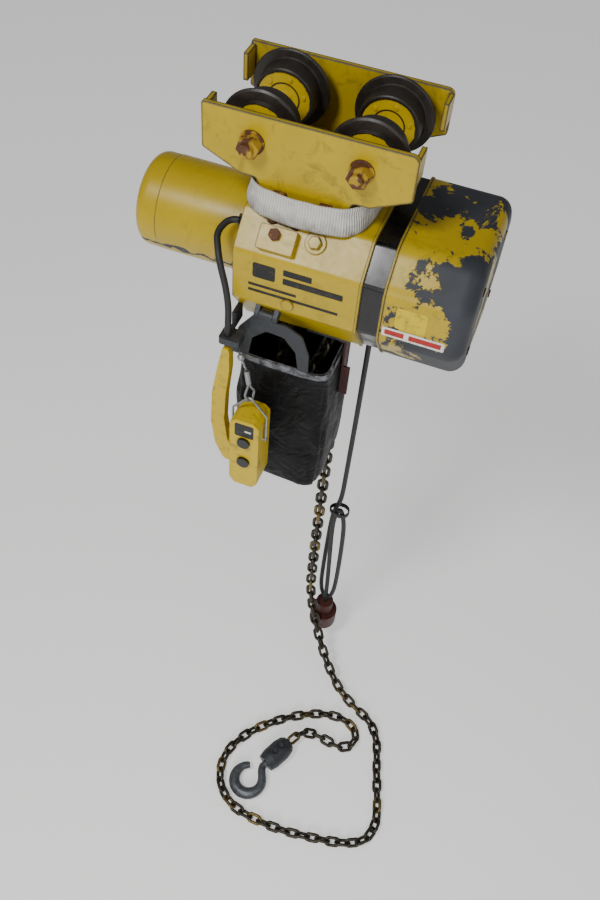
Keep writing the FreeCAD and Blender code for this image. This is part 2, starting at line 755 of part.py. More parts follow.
def limit_lever():
    """Trip lever that the hook block lifts: a ring round the load strand on a cross pin."""
    arm = box(
        sheave_x - lever_half, sheave_x + lever_half, chain_pitch_radius - 16, lever_pin_y + 4,
        lever_z - 2, lever_z + 2,
    )
    reach = lever_half + clear + lug_width
    pin = rod(
        lever_pin, (sheave_x - reach, lever_pin_y, lever_z), (sheave_x + reach, lever_pin_y, lever_z)
    )
    arm = arm.fuse(pin)
    hole = rod(
        guide_bore + 1.0, (sheave_x, chain_pitch_radius, lever_z - 5),
        (sheave_x, chain_pitch_radius, lever_z + 5),
    )
    return one(arm.cut(hole))


parts["chain_guide"] = chain_guide()
parts["limit_lever"] = limit_lever()

# ---- load chain ---------------------------------------------------------------------------
chain_y = chain_pitch_radius
chain_radius = chain_width / 2
guide_low = case_bottom - guide_flange
lie = floor_z + chain_radius             # height of the chain's middle where it lies
hook_start = V(104.0, -222.0, lie + 16)
hook_axis = V(-0.455, -0.885, -0.10).normalize()
hook_side = Z.cross(hook_axis).normalize()
load_chain_points = [
    (sheave_x, chain_y, guide_low),
    (sheave_x, chain_y, -950.0),
    (50.0, 24.0, -1030.0),
    (74.0, 4.0, -1100.0),
    (112.0, -34.0, -1152.0),
    (156.0, -72.0, -1181.0),
    (200.0, -96.0, lie),
    (240.0, -112.0, lie),
    (266.0, -146.0, lie),
    (280.0, -196.0, lie),
    (299.0, -252.0, lie),
    (314.0, -302.0, lie),
    (302.0, -342.0, lie),
    (260.0, -361.0, lie),
    (205.0, -371.0, lie),
    (152.0, -379.0, lie),
    (96.0, -379.0, lie),
    (44.0, -371.0, lie),
    (4.0, -338.0, lie),
    (-8.0, -286.0, lie),
    (13.0, -235.0, lie),
    (52.0, -191.0, lie),
    (98.0, -156.0, lie),
    (146.0, -132.0, lie),
    (190.0, -127.0, lie),
    (222.0, -144.0, lie),
    (223.0, -174.0, lie),
    (197.0, -189.0, lie),
    (160.0, -181.0, lie),
    (131.0, -185.0, lie + 9),
    tuple(hook_start - hook_axis * 24),
    tuple(hook_start - hook_axis * 0.6),
]
parts["load_chain"] = free_cord("load_chain", load_chain_points, chain_width)

bag_floor, pile_top = -500.0, -350.0
slack_points = [
    (sheave_x, -chain_y, guide_low),
    (40.0, -35.0, -262.0),
    (31.0, -45.0, -290.0),
    (19.0, -56.0, -316.0),
    (13.0, -61.0, pile_top + 10),
]
tail_points = [
    (-18.0, -40.0, case_bottom - 1),
    (-18.0, -42.0, -262.0),
    (-21.0, -52.0, -300.0),
    (-20.0, -60.0, pile_top + 10),
]


def slack_chain():
    """The chain behind the load: over the sheave, down into the bag, and its tail's last links."""
    over = Part.makeTorus(chain_pitch_radius, chain_radius, V(sheave_x, 0, sheave_z), X, 0, 360, 360)
    upper = box(sheave_x - 20, sheave_x + 20, -60, 60, sheave_z, sheave_z + 60)
    made = [one(over.common(upper))]
    for side in (-1, 1):
        y = side * chain_pitch_radius
        made.append(rod(chain_radius, (sheave_x, y, guide_low), (sheave_x, y, sheave_z)))
    made.append(free_cord("slack strand", slack_points, chain_width))
    made.append(free_cord("tail strand", tail_points, chain_width))
    return group(made)


parts["slack_chain"] = slack_chain()

# ---- chain bag ----------------------------------------------------------------------------
bag_left, bag_right = -61.0, 61.0
bag_front, bag_back = -108.0, -9.0
rim_top, rim_height, rim_wall = -256.0, 10.0, 3.0
bag_wall = 3.5
pin_y, pin_z, pin_radius, barrel_radius = -110.0, -178.0, 3.0, 6.0
barrel_left, barrel_right = -34.0, -16.0
hanger_thickness = 3.0


def soft_box(x0, x1, y0, y1, z0, z1, corner):
    outline = [(x0, y0, z0), (x1, y0, z0), (x1, y1, z0), (x0, y1, z0)]
    return rounded_face(outline, corner).extrude(V(0, 0, z1 - z0))


def chain_bag():
    """Rubber-coated fabric bag, open at the top."""
    outer = soft_box(bag_left, bag_right, bag_front, bag_back, bag_floor, rim_top - 2, 18.0)
    w = bag_wall
    inner = soft_box(
        bag_left + w, bag_right - w, bag_front + w, bag_back - w, bag_floor + w, rim_top, 18.0 - w
    )
    return one(outer.cut(inner))


def bag_rim():
    w = rim_wall
    outer = soft_box(
        bag_left - w, bag_right + w, bag_front - w, bag_back + w, rim_top - rim_height, rim_top, 18 + w
    )
    inner = soft_box(bag_left, bag_right, bag_front, bag_back, rim_top - 40, rim_top + 1, 18.0)
    return one(outer.cut(inner))


def bag_hanger():
    """Arched plate that stands on the rim's front and hangs from a rolled barrel at its top."""
    outline = [
        (-63, rim_top), (-63, -212), (-40, pin_z - 2), (-10, pin_z - 2), (24, -196),
        (35, -226), (36, rim_top), (22, rim_top), (17, -226), (0, -206), (-24, -204),
        (-43, -222), (-48, rim_top),
    ]
    face = rounded_face([(x, pin_y - hanger_thickness / 2, z) for x, z in outline],
                        [2, 8, 6, 6, 8, 8, 2, 2, 8, 8, 8, 8, 2])
    plate = face.extrude(V(0, hanger_thickness, 0))
    barrel = rod(barrel_radius, (barrel_left, pin_y, pin_z), (barrel_right, pin_y, pin_z))
    room = rod(barrel_radius + 1.5, (barrel_right, pin_y, pin_z), (barrel_right + 20, pin_y, pin_z))
    plate = plate.cut(room)
    room = rod(barrel_radius + 1.5, (barrel_left - 20, pin_y, pin_z), (barrel_left, pin_y, pin_z))
    plate = plate.cut(room).fuse(barrel)
    bore = rod(pin_radius + running, (barrel_left - 1, pin_y, pin_z), (barrel_right + 1, pin_y, pin_z))
    return one(plate.cut(bore))


def bag_hinge():
    """Two lugs on the casing's lower front chamfer, with the pin that the hanger turns on."""
    low_y = case_half - case_low_chamfer_y
    slope = V(0, -(case_half - low_y), case_low_chamfer_z).normalize()
    outward = V(0, -slope.z, slope.y)
    crease = V(0, -case_half, case_bottom + case_low_chamfer_z)
    pin = V(0, pin_y, pin_z)
    height = (pin - crease).dot(outward)
    along = (pin - crease).dot(slope)
    foot = crease + slope * along
    made = rod(pin_radius, (barrel_left - 7, pin_y, pin_z), (barrel_right + 7, pin_y, pin_z))
    for x in (barrel_left - 6.5, barrel_right + 0.5):
        lug = rod(barrel_radius, (x, pin_y, pin_z), (x + 6, pin_y, pin_z))
        ring = [foot + slope * 7, foot - slope * 7, foot - slope * 6 + outward * height,
                foot + slope * 6 + outward * height]
        web = Part.Face(Part.makePolygon([p + X * x for p in ring + ring[:1]])).extrude(X * 6)
        made = made.fuse(lug).fuse(web)
    return one(made)


def bag_keeper():
    """Strap beside the bag that keeps it from swaying towards the supply cord."""
    x0 = bag_right + rim_wall + 2.0
    strap = box(x0, x0 + 3, -54.0, -30.0, -336.0, guide_low)
    foot = box(x0 - 8, x0 + 3, -54.0, -30.0, guide_low - 3, guide_low)
    return one(strap.fuse(foot).fuse(box(x0 + 3, x0 + 12, -54.0, -51.0, -336.0, -284.0)))


parts["chain_bag"] = chain_bag()
parts["bag_rim"] = bag_rim()
parts["bag_hanger"] = bag_hanger()
parts["bag_hinge"] = bag_hinge()
parts["bag_keeper"] = bag_keeper()
w = bag_wall + clear
parts["stowed_chain"] = soft_box(
    bag_left + w, bag_right - w, bag_front + w, bag_back - w, bag_floor + w, pile_top, 18.0 - w
)

# ---- pendant ------------------------------------------------------------------------------
case_left, case_right = -46.0, -4.0
pend_front, pend_back = -177.0, -135.0
pend_low, pend_high = -448.0, -312.0
pend_wall, cover_thickness = 2.5, 4.0
button_radius, button_travel = 9.0, 3.0
button_x = (case_left + case_right) / 2
button_heights = {"button_raise": -354.0, "button_lower": -395.0}
arm_front, arm_back = -144.0, -130.0


def pendant_case():
    """Moulded back shell with the curved arm that the control cable enters from above."""
    y0 = pend_front + cover_thickness
    outline = [
        (case_left, pend_low + 10, 6), (case_left + 8, pend_low, 4), (case_right - 8, pend_low, 4),
        (case_right, pend_low + 10, 6), (case_right, pend_high - 8, 4), (case_right - 8, pend_high, 6),
        (case_left + 8, pend_high, 6), (case_left, pend_high - 8, 4),
    ]
    face = rounded_face([(x, y0, z) for x, z, r in outline], [r for x, z, r in outline])
    body = face.extrude(V(0, pend_back - y0, 0))
    w = pend_wall
    hollow = box(case_left + w, case_right - w, y0 - 1, pend_back - w, pend_low + 11, pend_high - 9)
    arm = [
        (-71, clamp_low - 9), (-61, clamp_low - 9), (-61, -262), (-66, -312), (-68, -362), (-63, -404),
        (case_left + 2, -424), (case_left + 2, pend_low + 6), (-68, pend_low - 1), (-82, -416),
        (-88, -370), (-86, -312), (-78, -262),
    ]
    radii = [4, 4, 12, 30, 30, 14, 1, 1, 10, 14, 30, 40, 30]
    arm_solid = rounded_face([(x, arm_front, z) for x, z in arm], radii)
    arm_solid = arm_solid.extrude(V(0, arm_back - arm_front, 0))
    hollow_free = arm_solid.cut(hollow)
    return one(body.cut(hollow).fuse(hollow_free))


def pendant_cover():
    outline = [
        (case_left, pend_low + 10), (case_left + 8, pend_low), (case_right - 8, pend_low),
        (case_right, pend_low + 10), (case_right, pend_high - 8), (case_right - 8, pend_high),
        (case_left + 8, pend_high), (case_left, pend_high - 8),
    ]
    face = rounded_face([(x, pend_front, z) for x, z in outline], [6, 4, 4, 6, 4, 6, 6, 4])
    plate = face.extrude(V(0, cover_thickness, 0))
    for z in button_heights.values():
        hole = rod(button_radius + 0.3, (button_x, pend_front - 1, z), (button_x, pend_front + 9, z))
        plate = plate.cut(hole)
    return one(plate)


def button(z):
    face, foot = pend_front - 3.5, pend_front + cover_thickness
    cap = rod(button_radius, (button_x, face, z), (button_x, foot, z))
    collar = rod(button_radius + 2, (button_x, foot + clear, z), (button_x, foot + 3, z))
    return one(cap.fuse(rod(button_radius, (button_x, face, z), (button_x, foot + 3, z))).fuse(collar))


contact_front = pend_front + cover_thickness + 3 + button_travel + clear
bail_y, bail_wire, bail_eyelet = (pend_front + pend_back) / 2 - 2, 1.6, 2.8
bail_z, bail_shoulder, bail_peak, bail_bend = -356.0, -311.0, -281.0, 5.0


def pendant_bail():
    """Bent wire handle, hooked through both sides of the case."""
    x0, x1 = case_left, case_right
    points = [
        (x0 - 3, bail_y, bail_z), (x0 - 3, bail_y, bail_shoulder), (button_x, bail_y, bail_peak),
        (x1 + 3, bail_y, bail_shoulder), (x1 + 3, bail_y, bail_z),
    ]
    wire = tube(points, bail_wire, [bail_bend] * 3)[0]
    reach = 3 + bail_wire + 0.6
    left = rod(bail_eyelet, (x0, bail_y, bail_z), (x0 - reach, bail_y, bail_z))
    right = rod(bail_eyelet, (x1, bail_y, bail_z), (x1 + reach, bail_y, bail_z))
    return one(wire.fuse(left).fuse(right))


rope_radius = 1.6
anchor = (anchor_x, anchor_y, anchor_z - thimble_radius - 1.0)
ferrule_top, ferrule_low = (-34.0, bail_y + 8, -244.0), (-29.0, bail_y + 4, -262.0)
ferrule_radius = 3.6
rope_end = tuple(V(*ferrule_top) + (V(*anchor) - V(*ferrule_top)).normalize() * 1.6)


def strain_rope():
    """Wire rope from the clamp on the casing to the ferrule, and the eye round the bail."""
    line = rod(rope_radius, anchor, rope_end)
    top, low = V(*ferrule_low), V(button_x, bail_y, bail_apex - bail_wire - rope_radius - 0.6)
    side = V(0.55, 0.83, 0) * 7.5
    middle = top + (low - top) * 0.55
    ring = [top, middle + side, low + side * 0.5, low - side * 0.5, middle - side]
    edges = rounded_edges([tuple(p) for p in ring], [1.5, 6, 3, 3, 6], True)
    wire = Part.Wire(edges)
    start = edges[0].valueAt(edges[0].FirstParameter)
    along = edges[0].tangentAt(edges[0].FirstParameter)
    circle = Part.Wire(Part.makeCircle(rope_radius, start, along))
    return group([line, wire.makePipeShell([circle], True, False)])


bail_rise = math.atan2(bail_peak - bail_shoulder, (case_right - case_left) / 2 + 3)
bail_apex = bail_peak - bail_bend * (1 / math.cos(bail_rise) - 1)


def rope_fittings():
    """Ferrule of the eye, the round stop bead higher up, and the thimble on the anchor pin."""
    ferrule = rod(ferrule_radius, ferrule_top, ferrule_low)
    centre = V(*anchor) + (V(*rope_end) - V(*anchor)) * 0.42
    bead = Part.makeSphere(5.0, centre).cut(rod(rope_radius, anchor, rope_end))
    y0, y1 = anchor_y - thimble_half, anchor_y + thimble_half
    thimble = rod(thimble_radius, (anchor_x, y0, anchor_z), (anchor_x, y1, anchor_z))
    pin_bore = rod(
        anchor_pin_radius + running, (anchor_x, y0 - 1, anchor_z), (anchor_x, y1 + 1, anchor_z)
    )
    return group([ferrule, one(bead), thimble.cut(pin_bore)])


parts["pendant_case"] = pendant_case()
parts["pendant_cover"] = pendant_cover()
for name, z in button_heights.items():
    parts[name] = button(z)
parts["contact_block"] = box(
    case_left + 6, case_right - 6, contact_front, pend_back - pend_wall, -412.0, -336.0
)
parts["pendant_bail"] = pendant_bail()
parts["strain_rope"] = strain_rope()
parts["rope_fittings"] = rope_fittings()

# clamp on the casing that holds the control cable and the rope's upper end
cable_radius = 4.25
cable_points = [
    (frame_left, cable_y, cable_z),
    (frame_left - 24, cable_y, cable_z),
    (frame_left - 33, cable_y - 22, cable_z - 8),
    (frame_left - 18, -112.0, cable_z - 24),
    (frame_left - 4, -122.0, cable_z - 58),
    (-69.0, -128.0, -168.0),
    (-66.0, -137.0, -190.0),
    (-66.0, -137.0, clamp_low - 2.5),
]


def cable_clamp():
    """Strap bracket on the lower left of the casing, with a two-hole clamp at its end."""
    block = soft_box(-76.0, -48.0, -146.0, -122.0, clamp_low, clamp_low + 10, 4.0)
    pin_reach = thimble_half + clear + 4.0
    pin = rod(
        anchor_pin_radius, (anchor_x, anchor_y - pin_reach, anchor_z),
        (anchor_x, anchor_y + pin_reach, anchor_z),
    )
    block = block.fuse(pin)
    for side in (-1, 1):
        y0, y1 = sorted(anchor_y + side * (thimble_half + clear + w) for w in (0, 3.5))
        ear = box(anchor_x - 4, anchor_x + 4, y0, y1, anchor_z - 4, clamp_low + 1)
        block = block.fuse(ear)
    arm = box(frame_left, -65.0, -130.0, -90.0, clamp_low + 3, clamp_low + 6)
    foot = box(frame_left, -65.0, -112.0, -90.0, clamp_low + 3, clamp_low + 26)
    shape = block.fuse(arm).fuse(foot)
    inside = case_prism(frame_left, frame_right)
    shape = shape.cut(inside)
    cable_hole = rod(cable_radius, (-66.0, -137.0, clamp_low - 9), (-66.0, -137.0, clamp_low + 20))
    return one(shape.cut(cable_hole))


cable, cable_length, cable_ratio = tube(cable_points, cable_radius, cord_radii(cable_points))
print(f"control_cable: length {cable_length:.0f} mm, volume ratio {cable_ratio:.4f}, held all the way")
parts["control_cable"] = cable
parts["cable_clamp"] = cable_clamp()

# ---- hook ---------------------------------------------------------------------------------
hook_block_length, block_radius = 60.0, 21.0


def along_hook(t, s=0.0, up=0.0):
    rise = hook_axis.cross(hook_side).normalize()
    return hook_start + hook_axis * t + hook_side * s + rise * up


def turned(profile):
    """A solid of revolution about the hook's axis, from (distance, radius) pairs."""
    points = [along_hook(t, r) for t, r in profile]
    face = Part.Face(Part.makePolygon(points + points[:1]))
    return face.revolve(hook_start, hook_axis, 360)


def hook_block():
    """Two forged halves bolted round the last link, with a race for the hook's nut."""
    shell = turned([
        (0, 0), (0, 13), (6, 18), (20, block_radius), (46, block_radius), (hook_block_length, 18),
        (hook_block_length, 0),
    ])
    race = turned([
        (44, 0), (44, nut_radius + clear), (54, nut_radius + clear), (54, shank_radius + running),
        (61, shank_radius + running), (61, 0),
    ])
    shell = shell.cut(race)
    made = [one(shell)]
    for t in (18, 34):
        low, high = along_hook(t, 0, 15), along_hook(t, 0, block_radius + 3.5)
        head = hexagon(9.0, tuple(low), tuple(high))
        made[0] = made[0].cut(rod(5.6, tuple(low), tuple(high + (high - low))))
        made.append(head)
    return group(made)


nut_radius, nut_width, shank_radius = 13.0, 9.0, 7.0
throat_t, throat_radius = 104.0, 27.0


def hook():
    """Forged open hook, drawn through round sections along its bend."""
    sections = []
    path = [(64, 0, shank_radius), (71, 2, 7.4), (77, 8, 7.8), (83, 16, 8.4)]
    for angle, r in ((22, 9.4), (-8, 10.2), (-40, 11.0), (-75, 11.4), (-110, 11.0), (-145, 10.2),
                     (-180, 8.8), (-205, 7.4), (-228, 5.6)):
        a = math.radians(angle)
        path.append((throat_t - throat_radius * math.sin(a), throat_radius * math.cos(a), r))
    centres = [along_hook(t, s) for t, s, r in path]
    for i, (t, s, r) in enumerate(path):
        a, b = centres[max(i - 1, 0)], centres[min(i + 1, len(path) - 1)]
        direction = hook_axis if i < 1 else b - a
        sections.append(Part.Wire(Part.makeCircle(r, centres[i], direction)))
    bend = Part.makeLoft(sections, True, False)
    return one(bend.fuse(rod(shank_radius, tuple(along_hook(53.6)), tuple(along_hook(64)))))


parts["hook_block"] = hook_block()
parts["hook"] = hook()
nut = turned([(54 - nut_width, 0), (54 - nut_width, nut_radius), (53.6, nut_radius), (53.6, 0)])
parts["hook_nut"] = nut

# ---- supply cord --------------------------------------------------------------------------
supply_radius = 4.25
gland_low = case_bottom - 22.0
hank_top, hank_low = -715.0, -1062.0
hank_x = gland_x - 3
supply_points = [
    (gland_x, gland_y, gland_low),
    (gland_x, gland_y, -420.0),
    (hank_x + 1, gland_y, -640.0),
    (hank_x, gland_y, hank_top + 0.2),
]
hank_half_x, hank_half_y = 22.0, 13.0


def gland(x, y, z):
    hexpart = hexagon(gland_across, (x, y, z), (x, y, z - 8))
    taper = Part.makeCone(gland_across / 2, supply_radius + 1.5, 14.0, V(x, y, z - 8), -Z)
    return hexpart.fuse(taper).cut(rod(supply_radius, (x, y, z - 30), (x, y, z + 5)))


def side_gland(x, y, z):
    hexpart = hexagon(gland_across, (x, y, z), (x - 5, y, z))
    taper = Part.makeCone(gland_across / 2, cable_radius + 1.5, 7.0, V(x - 5, y, z), -X)
    return hexpart.fuse(taper).cut(rod(cable_radius, (x - 30, y, z), (x + 5, y, z)))


parts["cable_glands"] = group([
    one(gland(gland_x, gland_y, case_bottom)), one(side_gland(frame_left, cable_y, cable_z)),
])
parts["supply_cord"] = free_cord("supply_cord", supply_points, 2 * supply_radius)
hank = soft_box(
    hank_x - hank_half_x, hank_x + hank_half_x, gland_y - hank_half_y, gland_y + hank_half_y,
    hank_low, hank_top, 10.0,
)
parts["cord_hank"] = hank


def supply_plug():
    """Four-pole round plug: grip, skirt and blades, hanging blades down."""
    x, y, z = hank_x, gland_y, hank_low
    grip = rod(17.0, (x, y, z), (x, y, z - 34))
    skirt = rod(27.0, (x, y, z - 34), (x, y, z - 72))
    well = rod(23.0, (x, y, z - 50), (x, y, z - 73))
    body = grip.fuse(skirt).cut(well)
    made = [one(body)]
    for i in range(4):
        a = math.radians(90 * i + 45)
        px, py = x + 13 * math.cos(a), y + 13 * math.sin(a)
        made.append(rod(2.4, (px, py, z - 50), (px, py, z - 69)))
    return group(made)


parts["supply_plug"] = supply_plug()

# ---- sling --------------------------------------------------------------------------------
sling_thickness = 4.0
sling_low, sling_high = case_top + 0.4, axle_z - wheel_flange_radius - 1.0


def sling():
    """Webbing sling laid round the lugs between the side plates and the casing."""
    ring = [
        (-80, -52), (-62, -85), (-28, -92), (0, -93.5), (28, -92), (62, -85), (80, -52),
        (80, 56), (62, 90), (28, 97), (0, 98.5), (-28, 97), (-62, 90), (-80, 56),
    ]
    inner = inset(ring, sling_thickness)
    solids = []
    for outline, corner in ((ring, 14.0), (inner, 14.0 - sling_thickness)):
        face = rounded_face([(x, y, sling_low) for x, y in outline], corner)
        solids.append(face.extrude(V(0, 0, sling_high - sling_low)))
    return one(solids[0].cut(solids[1]))


parts["sling"] = sling()

# ---- one file for each node ---------------------------------------------------------------
os.makedirs("parts", exist_ok=True)
for name, shape in parts.items():
    shape.exportStep(f"parts/{name}.step")
    if not shape.isValid() or not shape.Solids:
        print("not a valid solid:", name)
print(len(parts), "nodes")
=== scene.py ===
import math
import random

import bpy
from mathutils import Matrix, Vector, noise


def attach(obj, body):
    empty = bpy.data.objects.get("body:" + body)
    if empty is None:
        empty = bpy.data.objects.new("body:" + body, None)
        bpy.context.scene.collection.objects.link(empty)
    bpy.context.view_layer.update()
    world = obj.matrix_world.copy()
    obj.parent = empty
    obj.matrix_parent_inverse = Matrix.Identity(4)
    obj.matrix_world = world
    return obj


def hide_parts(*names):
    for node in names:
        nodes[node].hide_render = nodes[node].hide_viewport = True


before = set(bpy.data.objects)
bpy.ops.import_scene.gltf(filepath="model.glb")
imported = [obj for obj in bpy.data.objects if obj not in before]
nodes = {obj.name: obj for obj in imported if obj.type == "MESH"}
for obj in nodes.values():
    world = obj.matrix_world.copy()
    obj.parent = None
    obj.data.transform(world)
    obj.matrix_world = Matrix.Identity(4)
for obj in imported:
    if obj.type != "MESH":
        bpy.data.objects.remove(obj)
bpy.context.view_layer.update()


def colour(text):
    """An sRGB hex colour as the linear values that a socket takes."""
    parts = [int(text[i:i + 2], 16) / 255 for i in (0, 2, 4)]
    return [c / 12.92 if c < 0.04045 else ((c + 0.055) / 1.055) ** 2.4 for c in parts] + [1.0]


def add(tree, kind, inputs=None, out=None, **settings):
    """Adds a shader node and gives its output. Inputs are values or sockets, by name or number."""
    node = tree.nodes.new("ShaderNode" + kind)
    for name, value in settings.items():
        setattr(node, name, value)
    for name, value in (inputs or {}).items():
        if isinstance(value, bpy.types.NodeSocket):
            tree.links.new(value, node.inputs[name])
        else:
            node.inputs[name].default_value = value
    return node.outputs[out] if out else next((o for o in node.outputs if o.enabled), None)


def material(name, surface):
    """A material whose surface(tree) gives the inputs of one principled shader."""
    made = bpy.data.materials.new(name)
    made.use_nodes = True
    tree = made.node_tree
    tree.nodes.clear()
    add(tree, "OutputMaterial", {"Surface": add(tree, "BsdfPrincipled", surface(tree))})
    return made


def dress(names, made):
    """Gives CAD nodes their finish."""
    for name in names:
        nodes[name].data.materials.clear()
        nodes[name].data.materials.append(made)


def mesh_object(name, points, faces, made, body):
    """A new smooth mesh piece that rides on a body."""
    mesh = bpy.data.meshes.new(name)
    mesh.from_pydata(points, [], faces)
    mesh.shade_smooth()
    mesh.materials.append(made)
    piece = bpy.data.objects.new(name, mesh)
    bpy.context.collection.objects.link(piece)
    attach(piece, body)
    return piece


# ---- camera -------------------------------------------------------------------------------
# Placed by fitting the trolley, motor, casing and floor loop together; it looks down from the
# operator's side, a little from the motor's left, rolled so the beam line falls to the right.
yaw, pitch, roll = 0.27847, 0.88855, 0.09957
right = Vector((math.cos(yaw), math.sin(yaw), 0))
ahead = Vector((-math.sin(yaw) * math.cos(pitch), math.cos(yaw) * math.cos(pitch), -math.sin(pitch)))
up = right.cross(ahead)
rolled_right = right * math.cos(roll) + up * math.sin(roll)
rolled_up = up * math.cos(roll) - right * math.sin(roll)
camera_data = bpy.data.cameras.new("camera")
camera_data.lens = 38.03
camera_data.sensor_width = 36.0
camera = bpy.data.objects.new("camera", camera_data)
bpy.context.collection.objects.link(camera)
camera.matrix_world = Matrix((
    (rolled_right.x, rolled_up.x, -ahead.x, 0.27216),
    (rolled_right.y, rolled_up.y, -ahead.y, -0.93719),
    (rolled_right.z, rolled_up.z, -ahead.z, 0.64257),
    (0, 0, 0, 1),
))
bpy.context.scene.camera = camera

# ---- floor and light ----------------------------------------------------------------------
# Plain pale floor under the loop of slack chain, with a large soft light high on the left,
# a weaker fill from the right and a pale surrounding.
floor_z = -1.2005
floor_mesh = bpy.data.meshes.new("floor")
floor_mesh.from_pydata(
    [(-9, -9, floor_z), (9, -9, floor_z), (9, 9, floor_z), (-9, 9, floor_z)], [], [(0, 1, 2, 3)]
)
floor = bpy.data.objects.new("floor", floor_mesh)
bpy.context.collection.objects.link(floor)
floor_mesh.materials.append(material("pale floor", lambda tree: {
    "Base Color": colour("fafaf9"), "Roughness": 0.95, "Emission Color": colour("ffffff"),
    "Emission Strength": 0.45,
}))
world = bpy.data.worlds.new("pale studio")
world.use_nodes = True
background = world.node_tree.nodes["Background"]
background.inputs["Color"].default_value = colour("fbfbfa")
background.inputs["Strength"].default_value = 0.20
bpy.context.scene.world = world
for name, place, aim, size, watts in (
    ("key", (-0.5, -1.3, 1.5), (0, -0.1, -0.2), 0.5, 27.0),
    ("fill", (1.7, -1.1, 0.9), (0, 0, -0.3), 1.0, 5.0),
    ("low", (0.3, -1.8, 0.1), (0.1, -0.2, -1.1), 0.8, 11.0),
):
    lamp_data = bpy.data.lights.new(name, "AREA")
    lamp_data.shape = "DISK"
    lamp_data.size = size
    lamp_data.energy = watts
    lamp = bpy.data.objects.new(name, lamp_data)
    bpy.context.collection.objects.link(lamp)
    lamp.location = place
    lamp.rotation_euler = (Vector(aim) - Vector(place)).to_track_quat("-Z", "Y").to_euler()

# ---- load chain ---------------------------------------------------------------------------
# Links of 6.3 mm wire at 19.1 mm pitch, threaded one through the next along the hanging and
# lying line, each turned a quarter from its neighbour with a little play.
wire, pitch_length, link_width = 0.0063, 0.0191, 0.021


def line_of(name, points):
    """The smooth line that a cord's route gives, as points in the row frame."""
    curve = bpy.data.curves.new(name, "CURVE")
    curve.dimensions = "3D"
    curve.resolution_u = 24
    spline = curve.splines.new("NURBS")
    spline.points.add(len(points) - 1)
    for place, point in zip(spline.points, points):
        place.co = (*point, 1.0)
    spline.order_u = 3
    spline.use_endpoint_u = True
    holder = bpy.data.objects.new(name, curve)
    bpy.context.collection.objects.link(holder)
    bpy.context.view_layer.update()
    mesh = bpy.data.meshes.new_from_object(holder)
    line = [v.co.copy() for v in mesh.vertices]
    bpy.data.meshes.remove(mesh)
    bpy.data.objects.remove(holder)
    return line


def chain_surface(tree):
    luck = add(tree, "NewGeometry", out="Random Per Island")
    where = add(tree, "TexCoord", out="Object")
    fine = add(tree, "TexNoise", {"Vector": where, "Scale": 700.0, "Detail": 5.0})
    broad = add(tree, "TexNoise", {"Vector": where, "Scale": 160.0, "Detail": 4.0})
    rusty = add(tree, "MapRange", {"Value": luck, "From Min": 0.86, "From Max": 0.93, "To Max": 0.7})
    oily = add(tree, "Mix", {"Factor": fine, 6: colour("1c1915"), 7: colour("5b5648")},
               data_type="RGBA")
    stained = add(tree, "Mix", {"Factor": broad, 6: colour("5b4426"), 7: colour("a5904c")},
                  data_type="RGBA")
    shade = add(tree, "Mix", {"Factor": rusty, 6: oily, 7: stained}, data_type="RGBA")
    rough = add(tree, "MapRange", {"Value": broad, "From Min": 0.3, "From Max": 0.7,
                                   "To Min": 0.22, "To Max": 0.55})
    bump = add(tree, "Bump", {"Height": fine, "Strength": 0.5, "Distance": 0.0006})
    return {"Base Color": shade, "Metallic": 0.75, "Roughness": rough, "Normal": bump}


chain_steel = material("oiled chain steel", chain_surface)


def links_along(name, line, first_turn, seed, body):
    """One mesh of separate links along a line."""
    luck = random.Random(seed)
    lengths = [0.0]
    for a, b in zip(line, line[1:]):
        lengths.append(lengths[-1] + (b - a).length)
    count = round((lengths[-1] - wire) / pitch_length)
    step = (lengths[-1] - wire) / count
    side = (line[1] - line[0]).orthogonal().normalized()
    points, faces, k = [], [], 0
    around, across = 24, 8
    straight = (pitch_length + wire) / 2 - link_width / 2 + wire / 2
    bend = (link_width - wire) / 2
    for i in range(count):
        at = (i + 0.5) * step + wire / 2
        while k < len(lengths) - 2 and lengths[k + 1] < at:
            k += 1
        share = (at - lengths[k]) / max(lengths[k + 1] - lengths[k], 1e-9)
        middle = line[k].lerp(line[k + 1], share)
        before, after = line[max(k - 3, 0)], line[min(k + 4, len(line) - 1)]
        along = (after - before).normalized()
        side = (side - along * side.dot(along)).normalized()
        turn = first_turn + (i % 2) * math.pi / 2 + luck.uniform(-0.16, 0.16)
        flat = Matrix.Rotation(turn, 3, along) @ side
        normal = along.cross(flat)
        start = len(points)
        for a in range(around):
            angle = 2 * math.pi * a / around
            shift = straight if math.cos(angle) >= 0 else -straight
            out = along * math.cos(angle) + flat * math.sin(angle)
            centre = middle + along * (shift + bend * math.cos(angle)) + flat * bend * math.sin(angle)
            for b in range(across):
                ring = 2 * math.pi * b / across
                points.append(centre + (out * math.cos(ring) + normal * math.sin(ring)) * wire / 2)
        for a in range(around):
            for b in range(across):
                c, d = (a + 1) % around, (b + 1) % across
                faces.append((start + a * across + b, start + c * across + b,
                              start + c * across + d, start + a * across + d))
    return mesh_object(name, points, faces, chain_steel, body), lengths[-1]


